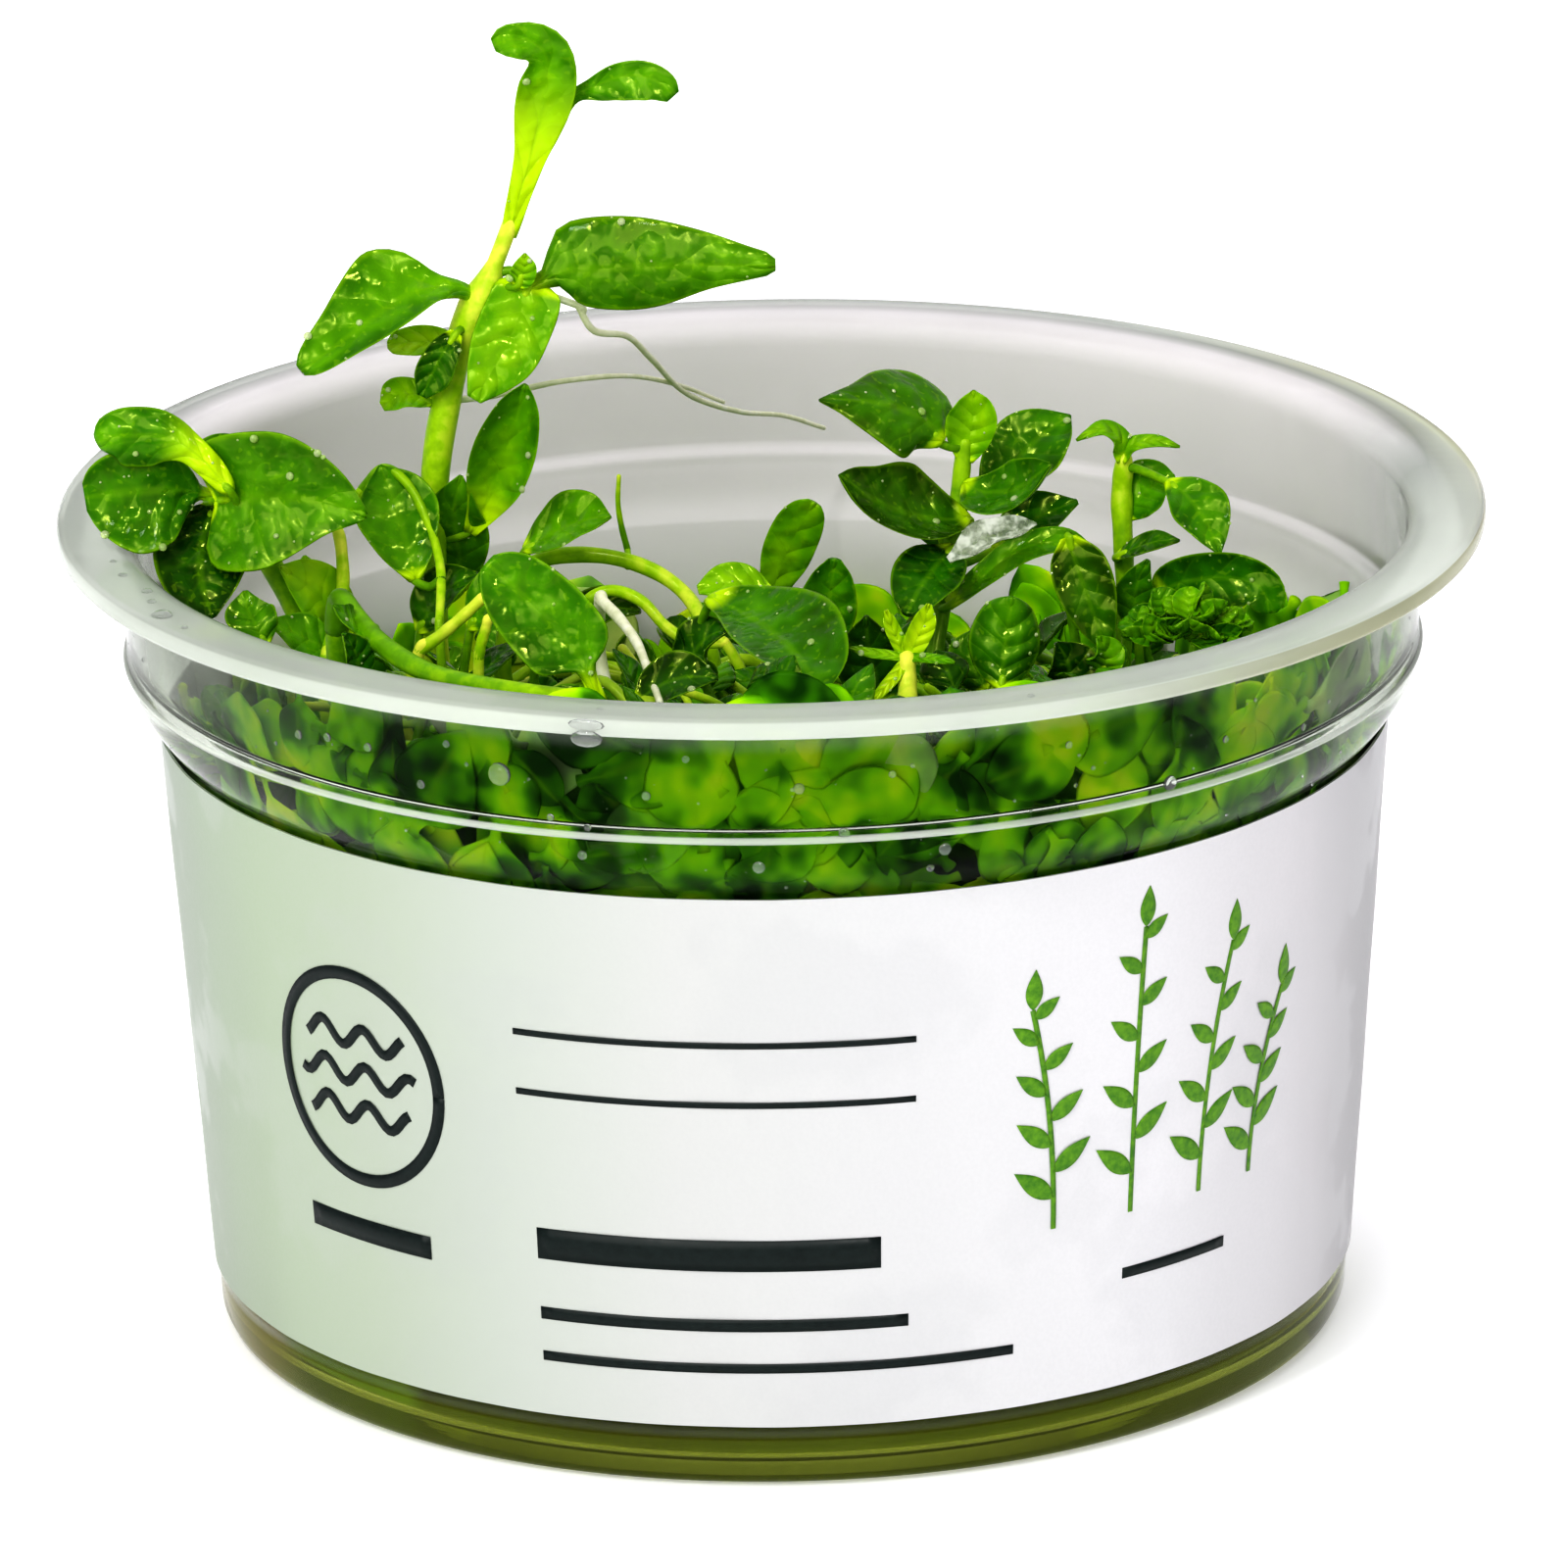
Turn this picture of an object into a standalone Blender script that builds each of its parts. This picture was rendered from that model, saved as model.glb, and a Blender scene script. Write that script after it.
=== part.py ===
"""A cup of tissue-cultured creeping water plants: clear moulded cup, wrap-round label, nutrient gel,
a mat of low growth, and the shoots, leaves and roots that stand above it.

Metres, +Z up. The origin is on the cup's axis, on the surface that the cup stands on, and the
label's middle faces -Y.
"""

from math import atan2, cos, pi, radians, sin

import bmesh
import bpy
from mathutils import Vector

# Cup: outer sizes
CUP_HEIGHT = 0.0587
RIM_RADIUS = 0.0500
NECK_RADIUS = 0.0453
BODY_RADIUS = 0.0430
BASE_RADIUS = 0.0398
SHOULDER_LOW = 0.0440
SHOULDER_TOP = 0.0486
WALL = 0.0008
RIM_LIP_DROP = 0.0015
RIM_EDGE_ROUND = 0.0006
RIM_ROUND = 0.0021
UNDER_RIM_ROUND = 0.0013
RIDGE_PROUD = 0.00025
RIDGE_HALF_HEIGHT = 0.0004
FOOT_INNER_RADIUS = 0.0362
FOOT_RECESS = 0.0007
BASE_ROUND = 0.0012
FLOOR_ROUND = 0.0020
ROUND_STEPS = 48

# Label, gel and the gap between pieces that touch
GAP = 0.0003
LABEL_LOW = 0.0046
LABEL_TOP = 0.0437
LABEL_GAP = 0.0002
LABEL_THICKNESS = 0.0002
LABEL_SEAM_ANGLE = radians(1.2)
GEL_TOP = 0.0110
GEL_MENISCUS = 0.0009
GEL_MENISCUS_WIDTH = 0.0021
GEL_MENISCUS_TOP = 0.0004

# Low growth: its top slopes down from the front wall to the back wall
GROWTH_HEIGHT = 0.0455
GROWTH_SLOPE = 0.24
GROWTH_LUMP = 0.0009
GROWTH_WALL_GAP = 0.0005
GROWTH_RINGS = 6
GROWTH_STEPS = 32
STEM_CLEARANCE = 0.0010

# Leaf blades
LEAF_THICKNESS = 0.0004
LEAF_STALK_WIDTH = 0.0007
LEAF_TIP_WIDTH = 0.0004
LEAF_STEPS = 6
LEAF_COLUMNS = 2
LEAF_DISH = 0.22

# The ways that a leaf's upper side can face
FRONT = (0, -1, 0.25)
FRONT_UP = (0, -0.7, 1)

# Leaf outlines: share of the length that is stalk, and the two powers that place the widest point
OUTLINES = {
    "ovate": (0.12, 0.45, 0.75),
    "heart": (0.08, 0.28, 0.80),
    "oval": (0.14, 0.55, 0.55),
    "spoon": (0.34, 0.60, 0.45),
    "strap": (0.05, 0.35, 0.40),
}

# Stems and bare roots: lower radius, upper radius, and the points that each runs through.
# A point with no height stands on the low growth.
STEMS = {
    "stem_tall": (0.00085, 0.00060, [
        (-0.0245, 0.0015), (-0.0240, 0.0035, 0.0560), (-0.0230, 0.0055, 0.0630),
        (-0.0215, 0.0060, 0.0690), (-0.0197, 0.0060, 0.0725), (-0.0177, 0.0060, 0.0785),
        (-0.0167, 0.0060, 0.0815), (-0.0163, 0.0060, 0.0828),
    ]),
    "stem_left": (0.00070, 0.00070, [
        (-0.0310, -0.0065), (-0.0335, -0.0058, 0.0535), (-0.0362, -0.0045, 0.0578),
        (-0.0376, -0.0035, 0.0602),
    ]),
    "stem_middle": (0.00065, 0.00055, [
        (0.0105, 0.0010), (0.0115, 0.0050, 0.0520), (0.0121, 0.0080, 0.0567),
        (0.0124, 0.0085, 0.0600),
    ]),
    "stem_right": (0.00065, 0.00055, [
        (0.0250, 0.0060), (0.0251, 0.0080, 0.0514), (0.0251, 0.0095, 0.0550),
        (0.0251, 0.0100, 0.0580),
    ]),
    "stem_star": (0.00065, 0.00055, [
        (0.0088, -0.0245), (0.0093, -0.0215, 0.0524), (0.0100, -0.0205, 0.0546),
    ]),
    "stem_front": (0.00055, 0.00050, [
        (-0.0300, -0.0165), (-0.0285, -0.0200, 0.0556), (-0.0225, -0.0285, 0.0568),
        (-0.0150, -0.0355, 0.0580),
    ]),
    "stem_arched": (0.00060, 0.00045, [
        (-0.0175, 0.0045), (-0.0155, 0.0055, 0.0516), (-0.0125, 0.0060, 0.0532),
        (-0.0085, 0.0055, 0.0522), (-0.0055, 0.0035, 0.0492), (-0.0042, 0.0010, 0.0475),
    ]),
    "stem_looped": (0.00040, 0.00035, [
        (-0.0295, 0.0010, 0.0590), (-0.0277, 0.0000, 0.0612), (-0.0257, -0.0010, 0.0606),
        (-0.0240, -0.0030, 0.0580), (-0.0230, -0.0065, 0.0545), (-0.0232, -0.0100),
    ]),
    "stem_pale": (0.00050, 0.00040, [
        (-0.0312, -0.0110), (-0.0303, -0.0080, 0.0535), (-0.0298, -0.0055, 0.0562),
        (-0.0294, -0.0035, 0.0592),
    ]),
    "root_long": (0.00030, 0.00022, [
        (-0.0152, 0.0068, 0.0716), (-0.0133, 0.0072, 0.0709), (-0.0120, 0.0100, 0.0690),
        (-0.0095, 0.0145, 0.0672), (-0.0070, 0.0240, 0.0615), (-0.0045, 0.0300, 0.0572),
        (-0.0015, 0.0365, 0.0543), (0.0025, 0.0405, 0.0521),
    ]),
    "root_short": (0.00028, 0.00020, [
        (-0.0180, 0.0075, 0.0625), (-0.0155, 0.0085, 0.0637), (-0.0125, 0.0140, 0.0634),
        (-0.0090, 0.0220, 0.0605), (-0.0055, 0.0310, 0.0566),
    ]),
    "root_front": (0.00030, 0.00022, [
        (-0.0122, -0.0060, 0.0525), (-0.0105, -0.0110, 0.0532), (-0.0090, -0.0165, 0.0538),
        (-0.0078, -0.0230, 0.0545), (-0.0074, -0.0280),
    ]),
}

# Leaves: outline, foot, tip, how far the middle stands off the straight line between them, width,
# and the way that the upper side faces
LEAVES = {
    "leaf_tall_left": (
        "ovate", (-0.0215, 0.0050, 0.0734), (-0.0332, 0.0000, 0.0682), (0, 0, 0.0004), 0.0068, FRONT_UP,
    ),
    "leaf_tall_right": (
        "ovate", (-0.0178, 0.0055, 0.0730), (0.0008, 0.0030, 0.0748), (0, 0, 0.0003), 0.0070, FRONT_UP,
    ),
    "leaf_tall_bract": (
        "strap", (-0.0196, 0.0040, 0.0722), (-0.0170, 0.0015, 0.0662), (0.0006, 0, 0), 0.0052, FRONT,
    ),
    "leaf_top_left": (
        "strap", (-0.0164, 0.0056, 0.0838), (-0.0196, 0.0045, 0.0912), (0.0032, 0, 0.0010), 0.0042, FRONT,
    ),
    "leaf_top_right": (
        "spoon", (-0.0136, 0.0072, 0.0856), (-0.0062, 0.0050, 0.0862), (0, 0, 0.0018), 0.0036, FRONT_UP,
    ),
    "leaf_tall_bud": (
        "strap", (-0.0183, 0.0046, 0.0732), (-0.0166, 0.0048, 0.0756), (0, 0, 0), 0.0019, FRONT,
    ),
    "leaf_tall_small": (
        "oval", (-0.0232, 0.0060, 0.0672), (-0.0272, 0.0052, 0.0686), (0, 0, 0.0004), 0.0028, FRONT_UP,
    ),
    "leaf_tall_low": (
        "oval", (-0.0248, 0.0050, 0.0605), (-0.0282, 0.0043, 0.0622), (0, 0, 0.0003), 0.0020, FRONT_UP,
    ),
    "leaf_left_far": (
        "oval", (-0.0386, -0.0028, 0.0612), (-0.0466, -0.0048, 0.0660), (0, 0, 0.0014), 0.0042, FRONT_UP,
    ),
    "leaf_left_round": (
        "spoon", (-0.0388, -0.0050, 0.0616), (-0.0474, -0.0085, 0.0624), (0, 0, 0), 0.0066, FRONT,
    ),
    "leaf_left_heart": (
        "heart", (-0.0388, -0.0076, 0.0598), (-0.0282, -0.0108, 0.0592), (0, 0, 0.0004), 0.0106, FRONT,
    ),
    "leaf_left_behind": (
        "oval", (-0.0380, -0.0010, 0.0602), (-0.0376, 0.0030, 0.0630), (0, 0, 0.0004), 0.0040, FRONT_UP,
    ),
    "leaf_left_hanging": (
        "ovate", (-0.0386, -0.0048, 0.0570), (-0.0388, -0.0108, 0.0536), (0, 0, 0.0004), 0.0054, FRONT_UP,
    ),
    "leaf_front": (
        "ovate", (-0.0113, -0.0375, 0.0570), (-0.0193, -0.0350, 0.0655), (0, -0.0005, 0), 0.0074, FRONT,
    ),
    "leaf_standing": (
        "oval", (-0.0208, 0.0030, 0.0570), (-0.0165, 0.0010, 0.0670), (0.0003, 0, 0), 0.0046, FRONT,
    ),
    "leaf_low_round": (
        "oval", (-0.0180, 0.0030, 0.0542), (-0.0118, 0.0010, 0.0562), (0, 0, 0.0008), 0.0046, FRONT_UP,
    ),
    "leaf_low_arched": (
        "oval", (-0.0262, -0.0045, 0.0530), (-0.0258, 0.0000, 0.0580), (0, 0, 0.0012), 0.0050, FRONT_UP,
    ),
    "leaf_low_left": (
        "oval", (-0.0335, -0.0010, 0.0490), (-0.0300, 0.0025, 0.0565), (0, 0, 0.0008), 0.0042, FRONT_UP,
    ),
    "leaf_front_left": (
        "oval", (-0.0345, -0.0205, 0.0520), (-0.0300, -0.0235, 0.0560), (0, 0, 0.0008), 0.0030, FRONT_UP,
    ),
    "leaf_centre_standing": (
        "oval", (0.0002, 0.0165, 0.0450), (0.0025, 0.0140, 0.0545), (0, 0, 0), 0.0036, FRONT,
    ),
    "leaf_centre_upright": (
        "ovate", (0.0040, -0.0020, 0.0482), (0.0044, -0.0035, 0.0552), (0, -0.0004, 0), 0.0036, FRONT,
    ),
    "leaf_centre_left": (
        "oval", (-0.0005, 0.0010, 0.0492), (-0.0053, 0.0000, 0.0520), (0, 0, 0.0005), 0.0032, FRONT_UP,
    ),
    "leaf_centre_big": (
        "ovate", (-0.0036, -0.0130, 0.0552), (0.0046, -0.0265, 0.0526), (0, 0, 0.0012), 0.0068, FRONT_UP,
    ),
    "leaf_middle_top": (
        "heart", (0.0122, 0.0076, 0.0612), (0.0036, 0.0050, 0.0642), (0, 0, 0.0004), 0.0074, FRONT_UP,
    ),
    "leaf_middle_bud": (
        "oval", (0.0130, 0.0085, 0.0606), (0.0152, 0.0085, 0.0636), (0, 0, 0.0002), 0.0036, FRONT,
    ),
    "leaf_middle_back": (
        "ovate", (0.0146, 0.0100, 0.0574), (0.0210, 0.0135, 0.0586), (0, 0, 0.0005), 0.0064, FRONT_UP,
    ),
    "leaf_middle_right": (
        "ovate", (0.0138, 0.0070, 0.0552), (0.0200, 0.0040, 0.0572), (0, 0, 0.0006), 0.0046, FRONT_UP,
    ),
    "leaf_middle_left": (
        "ovate", (0.0112, 0.0064, 0.0542), (0.0046, 0.0030, 0.0582), (-0.0003, 0, 0), 0.0064, FRONT_UP,
    ),
    "leaf_middle_low": (
        "ovate", (0.0108, 0.0032, 0.0522), (0.0102, -0.0030, 0.0492), (0, 0, 0.0004), 0.0048, FRONT_UP,
    ),
    "leaf_arching": (
        "strap", (0.0130, 0.0025, 0.0502), (0.0228, 0.0028, 0.0530), (0, 0, 0.0020), 0.0026, FRONT_UP,
    ),
    "leaf_middle_round": (
        "oval", (0.0148, -0.0200, 0.0508), (0.0162, -0.0185, 0.0568), (0, -0.0003, 0), 0.0060, FRONT,
    ),
    "leaf_star_left": (
        "strap", (0.0090, -0.0206, 0.0545), (0.0055, -0.0200, 0.0556), (0, 0, 0.0003), 0.0012, FRONT_UP,
    ),
    "leaf_star_right": (
        "strap", (0.0110, -0.0206, 0.0545), (0.0138, -0.0215, 0.0540), (0, 0, 0.0003), 0.0012, FRONT_UP,
    ),
    "leaf_star_top": (
        "strap", (0.0102, -0.0204, 0.0555), (0.0107, -0.0200, 0.0590), (0, 0, 0), 0.0016, FRONT,
    ),
    "leaf_right_top_left": (
        "spoon", (0.0243, 0.0100, 0.0582), (0.0212, 0.0090, 0.0594), (0, 0, 0.0006), 0.0018, FRONT_UP,
    ),
    "leaf_right_top_right": (
        "strap", (0.0259, 0.0100, 0.0582), (0.0290, 0.0090, 0.0588), (0, 0, 0.0003), 0.0014, FRONT_UP,
    ),
    "leaf_right_upper": (
        "ovate", (0.0261, 0.0095, 0.0548), (0.0290, 0.0098, 0.0572), (0, 0, 0.0003), 0.0032, FRONT_UP,
    ),
    "leaf_right_far": (
        "ovate", (0.0276, 0.0074, 0.0552), (0.0316, 0.0030, 0.0530), (0.0004, 0, 0.0006), 0.0042, FRONT_UP,
    ),
    "leaf_right_lower": (
        "ovate", (0.0260, 0.0070, 0.0516), (0.0290, 0.0045, 0.0536), (0, 0, 0.0004), 0.0024, FRONT_UP,
    ),
    "leaf_right_hanging": (
        "ovate", (0.0208, 0.0008, 0.0528), (0.0238, -0.0012, 0.0470), (-0.0004, 0, 0), 0.0040, FRONT,
    ),
    "leaf_right_wide": (
        "ovate", (0.0278, 0.0020, 0.0504), (0.0354, -0.0020, 0.0514), (0, 0, 0.0014), 0.0040, FRONT_UP,
    ),
}
CURLED_CENTRE = Vector((0.0290, -0.0066, 0.0508))
CURLED_SIZE = Vector((0.0042, 0.0038, 0.0024))
DRIED_LEAF = (
    "oval", (0.0140, -0.0010, 0.0526), (0.0182, 0.0000, 0.0562), (0, 0, 0.0006), 0.0030, FRONT_UP,
)


def material(name, colour, roughness, transmission=0.0):
    """A Principled material in one colour."""
    made = bpy.data.materials.new(name)
    made.use_nodes = True
    shader = made.node_tree.nodes["Principled BSDF"]
    shader.inputs["Base Color"].default_value = (*colour, 1)
    shader.inputs["Roughness"].default_value = roughness
    shader.inputs["Metallic"].default_value = 0.0
    shader.inputs["Transmission Weight"].default_value = transmission
    made.diffuse_color = (*colour, 1)
    return made


def clear_scene():
    for obj in list(bpy.data.objects):
        bpy.data.objects.remove(obj, do_unlink=True)


def part_collection(name):
    made = bpy.data.collections.new(name)
    bpy.context.scene.collection.children.link(made)
    return made


def add_object(name, data, collection, finish):
    obj = bpy.data.objects.new(name, data)
    obj.data.materials.append(finish)
    collection.objects.link(obj)
    return obj


def arc(centre_r, centre_z, radius, start, end, steps):
    """Points (r, z) on an arc, from one angle to another in degrees, both ends included."""
    made = []
    for step in range(steps + 1):
        angle = radians(start + (end - start) * step / steps)
        made.append((centre_r + radius * cos(angle), centre_z + radius * sin(angle)))
    return made


def wall_radius(z):
    """Outer radius of the cup's wall: a slight taper, the shoulder's quarter wave, the straight neck."""
    if z <= SHOULDER_LOW:
        return BASE_RADIUS + (BODY_RADIUS - BASE_RADIUS) * z / SHOULDER_LOW
    if z < SHOULDER_TOP:
        share = (z - SHOULDER_LOW) / (SHOULDER_TOP - SHOULDER_LOW)
        return BODY_RADIUS + (NECK_RADIUS - BODY_RADIUS) * sin(pi / 2 * share)
    return NECK_RADIUS


def shoulder_heights(steps):
    return [SHOULDER_LOW + (SHOULDER_TOP - SHOULDER_LOW) * step / steps for step in range(steps + 1)]


def turned(name, profile, collection, finish, steps=ROUND_STEPS):
    """A turned solid. Its profile starts on the axis, and runs down its outer side."""
    mesh = bpy.data.meshes.new(name)
    rows = bmesh.new()
    points = [rows.verts.new((r, 0, z)) for r, z in profile]
    for first, second in zip(points, points[1:]):
        rows.edges.new((first, second))
    rows.to_mesh(mesh)
    rows.free()
    obj = add_object(name, mesh, collection, finish)
    screw = obj.modifiers.new("turn", "SCREW")
    screw.steps = steps
    screw.render_steps = steps
    screw.use_merge_vertices = True
    screw.merge_threshold = 0.00001
    screw.use_smooth_shade = True
    return obj


def make_cup(collection, finish):
    floor = FOOT_RECESS + WALL
    floor_edge = wall_radius(floor + FLOOR_ROUND) - WALL - FLOOR_ROUND
    neck_inner = NECK_RADIUS - WALL
    under_rim = CUP_HEIGHT - WALL
    lip_bottom = CUP_HEIGHT - RIM_LIP_DROP
    inside = [(0, floor), *arc(floor_edge, floor + FLOOR_ROUND, FLOOR_ROUND, -90, 0, 3)]
    inside += [(wall_radius(z) - WALL, z) for z in shoulder_heights(3)]
    inside += arc(neck_inner + RIM_ROUND, CUP_HEIGHT - RIM_ROUND, RIM_ROUND, 180, 90, 3)
    rim = arc(RIM_RADIUS - RIM_EDGE_ROUND, CUP_HEIGHT - RIM_EDGE_ROUND, RIM_EDGE_ROUND, 90, 0, 2)
    rim += [(RIM_RADIUS, lip_bottom), (RIM_RADIUS - WALL, lip_bottom), (RIM_RADIUS - WALL, under_rim)]
    outside = arc(NECK_RADIUS + UNDER_RIM_ROUND, under_rim - UNDER_RIM_ROUND, UNDER_RIM_ROUND, 90, 180, 3)
    outside += [(NECK_RADIUS, SHOULDER_TOP + RIDGE_HALF_HEIGHT), (NECK_RADIUS + RIDGE_PROUD, SHOULDER_TOP)]
    outside += [(wall_radius(z), z) for z in reversed(shoulder_heights(4)[:-1])]
    outside += [(wall_radius(BASE_ROUND), BASE_ROUND)]
    outside += arc(BASE_RADIUS - BASE_ROUND, BASE_ROUND, BASE_ROUND, -30, -90, 2)
    foot = [(FOOT_INNER_RADIUS, 0), (FOOT_INNER_RADIUS - FOOT_RECESS, FOOT_RECESS), (0, FOOT_RECESS)]
    return turned("cup", inside + rim + outside + foot, collection, finish)


def make_label(collection, finish):
    """A strip wrapped round the tapered wall, whose two ends meet at the back."""
    mesh = bpy.data.meshes.new("label")
    strip = bmesh.new()
    bmesh.ops.create_grid(strip, x_segments=ROUND_STEPS, y_segments=1, size=0.5)
    turn = 2 * pi - LABEL_SEAM_ANGLE
    for point in strip.verts:
        angle = -pi / 2 + turn * point.co.x
        z = LABEL_LOW + (LABEL_TOP - LABEL_LOW) * (point.co.y + 0.5)
        radius = wall_radius(z) + LABEL_GAP
        point.co = (radius * cos(angle), radius * sin(angle), z)
    strip.to_mesh(mesh)
    strip.free()
    obj = add_object("label", mesh, collection, finish)
    shell = obj.modifiers.new("thickness", "SOLIDIFY")
    shell.thickness = LABEL_THICKNESS
    shell.offset = 1.0
    return obj


def make_gel(collection, finish):
    floor = FOOT_RECESS + WALL + GAP
    side = wall_radius(floor + FLOOR_ROUND) - WALL - GAP
    edge = wall_radius(GEL_TOP) - WALL - GAP
    lip = edge - GEL_MENISCUS_TOP
    profile = [(0, GEL_TOP), (lip - GEL_MENISCUS_WIDTH, GEL_TOP), (lip, GEL_TOP + GEL_MENISCUS)]
    profile += [(edge, GEL_TOP + GEL_MENISCUS)]
    profile += arc(side - FLOOR_ROUND, floor + FLOOR_ROUND, FLOOR_ROUND, 0, -90, 2)
    profile += [(0, floor)]
    return turned("nutrient_gel", profile, collection, finish)


def growth_top(x, y):
    """Height of the low growth at a place in plan: a slope with soft lumps."""
    lumps = sin(x * 520 + 1.1) * cos(y * 430 - 0.4) + 0.6 * sin((x + y) * 690)
    return GROWTH_HEIGHT - GROWTH_SLOPE * y + GROWTH_LUMP * lumps


def growth_radius(z):
    """The mat fills the tapered body, and keeps the same taper in the wider neck."""
    return BASE_RADIUS + (BODY_RADIUS - BASE_RADIUS) * z / SHOULDER_LOW - WALL - GROWTH_WALL_GAP


def make_growth(collection, finish):
    """The mat of low leaves and stems, one lumpy body from the gel up. Its profile is turned with
    each point's share of the height as z, and then drawn up to the sloping top."""
    mesh = bpy.data.meshes.new("undergrowth")
    mat = bmesh.new()
    low = GEL_TOP + GEL_MENISCUS + GAP
    profile = [(ring / GROWTH_RINGS, 0, 1) for ring in range(GROWTH_RINGS + 1)]
    profile += [(1, 0, 0.5), (1, 0, 0), (0, 0, 0)]
    points = [mat.verts.new(point) for point in profile]
    edges = [mat.edges.new(pair) for pair in zip(points, points[1:])]
    bmesh.ops.spin(
        mat, geom=points + edges, cent=(0, 0, 0), axis=(0, 0, 1), angle=2 * pi,
        steps=GROWTH_STEPS, use_merge=True,
    )
    bmesh.ops.remove_doubles(mat, verts=mat.verts, dist=0.001)
    for point in mat.verts:
        share, plan = point.co.z, point.co.xy * growth_radius(GROWTH_HEIGHT)
        z = low + (growth_top(*plan) - low) * share
        plan = point.co.xy * growth_radius(z)
        point.co = (*plan, z)
    bmesh.ops.recalc_face_normals(mat, faces=mat.faces)
    mat.to_mesh(mesh)
    mat.free()
    return add_object("undergrowth", mesh, collection, finish)


def smooth_path(points, steps=3):
    """Points on a smooth curve that passes through the given ones."""
    ends = [points[0] * 2 - points[1], *points, points[-1] * 2 - points[-2]]
    made = []
    for before, start, end, after in zip(ends, ends[1:], ends[2:], ends[3:]):
        for step in range(steps):
            t = step / steps
            made.append(0.5 * (
                2 * start + (end - before) * t + (2 * before - 5 * start + 4 * end - after) * t ** 2
                + (3 * start - before - 3 * end + after) * t ** 3
            ))
    return made + [points[-1]]


def placed(point):
    """A point of a stem's route. One with no height stands just clear of the low growth."""
    if len(point) == 3:
        return Vector(point)
    return Vector((*point, growth_top(*point) + STEM_CLEARANCE))


def make_stem(name, lower_radius, upper_radius, route, collection, finish):
    curve = bpy.data.curves.new(name, "CURVE")
    curve.dimensions = "3D"
    curve.bevel_depth = lower_radius
    curve.bevel_resolution = 1 if lower_radius < 0.0005 else 2
    curve.use_fill_caps = True
    points = smooth_path([placed(point) for point in route], 2)
    spline = curve.splines.new("POLY")
    spline.points.add(len(points) - 1)
    for place, point in enumerate(points):
        share = place / (len(points) - 1)
        spline.points[place].co = (*point, 1)
        spline.points[place].radius = 1 + (upper_radius / lower_radius - 1) * share
    return add_object(name, curve, collection, finish)


def half_width(outline, width, u):
    """Half of a leaf's width at share u of its length: a stalk, then the blade."""
    stalk, rise, fall = OUTLINES[outline]
    if u <= stalk:
        return LEAF_STALK_WIDTH / 2
    s = (u - stalk) / (1 - stalk)
    peak = rise / (rise + fall)
    shape = (s / peak) ** rise * ((1 - s) / (1 - peak)) ** fall
    return max(LEAF_TIP_WIDTH, width * shape) / 2


def make_leaf(name, row, collection, finish):
    """A thin blade from its foot to its tip, bent along its length and dished across it."""
    outline, foot, tip, bend, width, face = row
    foot, tip, bend, face = Vector(foot), Vector(tip), Vector(bend), Vector(face)
    mesh = bpy.data.meshes.new(name)
    blade = bmesh.new()
    bmesh.ops.create_grid(blade, x_segments=LEAF_STEPS, y_segments=LEAF_COLUMNS, size=0.5)
    for point in blade.verts:
        u, v = point.co.x + 0.5, 2 * point.co.y
        along = (tip - foot + bend * 4 * (1 - 2 * u)).normalized()
        facing = (face - face.dot(along) * along).normalized()
        half = half_width(outline, width, u)
        centre = foot + (tip - foot) * u + bend * 4 * u * (1 - u)
        point.co = centre + facing.cross(along) * (half * v) + facing * (LEAF_DISH * half * v * v)
    blade.to_mesh(mesh)
    blade.free()
    obj = add_object(name, mesh, collection, finish)
    shell = obj.modifiers.new("thickness", "SOLIDIFY")
    shell.thickness = LEAF_THICKNESS
    shell.offset = 0.0
    return obj


def make_curled(collection, finish):
    """The tuft of crisp, tightly curled young leaves at the right, as one knobbly body."""
    mesh = bpy.data.meshes.new("leaves_curled")
    tuft = bmesh.new()
    bmesh.ops.create_icosphere(tuft, subdivisions=2, radius=1.0)
    for point in tuft.verts:
        x, y, z = point.co
        knob = 1 + 0.14 * sin(5 * x + 1) * cos(4 * y) + 0.10 * sin(6 * z + 3 * atan2(y, x))
        point.co = CURLED_CENTRE + point.co * CURLED_SIZE * knob
    tuft.to_mesh(mesh)
    tuft.free()
    return add_object("leaves_curled", mesh, collection, finish)


def main():
    clear_scene()
    collection = part_collection("tissue_culture_plant_cup")
    make_cup(collection, material("clear_plastic", (0.86, 0.90, 0.88), 0.12, 0.9))
    make_label(collection, material("label_paper", (0.90, 0.92, 0.91), 0.45))
    make_gel(collection, material("gel", (0.34, 0.42, 0.10), 0.15, 0.7))
    make_growth(collection, material("low_growth", (0.07, 0.22, 0.03), 0.5))
    stem_finish = material("stem", (0.38, 0.62, 0.06), 0.4)
    root_finish = material("root", (0.72, 0.74, 0.52), 0.5)
    leaf_finish = material("leaf", (0.10, 0.42, 0.03), 0.35)
    dry_finish = material("dried_leaf", (0.62, 0.70, 0.52), 0.3, 0.6)
    for name, (lower, upper, route) in STEMS.items():
        finish = root_finish if name.startswith("root") else stem_finish
        make_stem(name, lower, upper, route, collection, finish)
    for name, row in LEAVES.items():
        make_leaf(name, row, collection, leaf_finish)
    make_leaf("leaf_dried", DRIED_LEAF, collection, dry_finish)
    make_curled(collection, leaf_finish)


main()
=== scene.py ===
"""The looks of a cup of tissue-cultured water plants: clear moulded plastic, a damp wrap-round label,
nutrient gel, and a dense clump of small glossy leaves.

Tables of places are in millimetres, in the frame's axes; everything else is in metres.
"""

from math import cos, pi, radians, sin

import bpy
import numpy as np
from mathutils import Matrix, Vector


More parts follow.
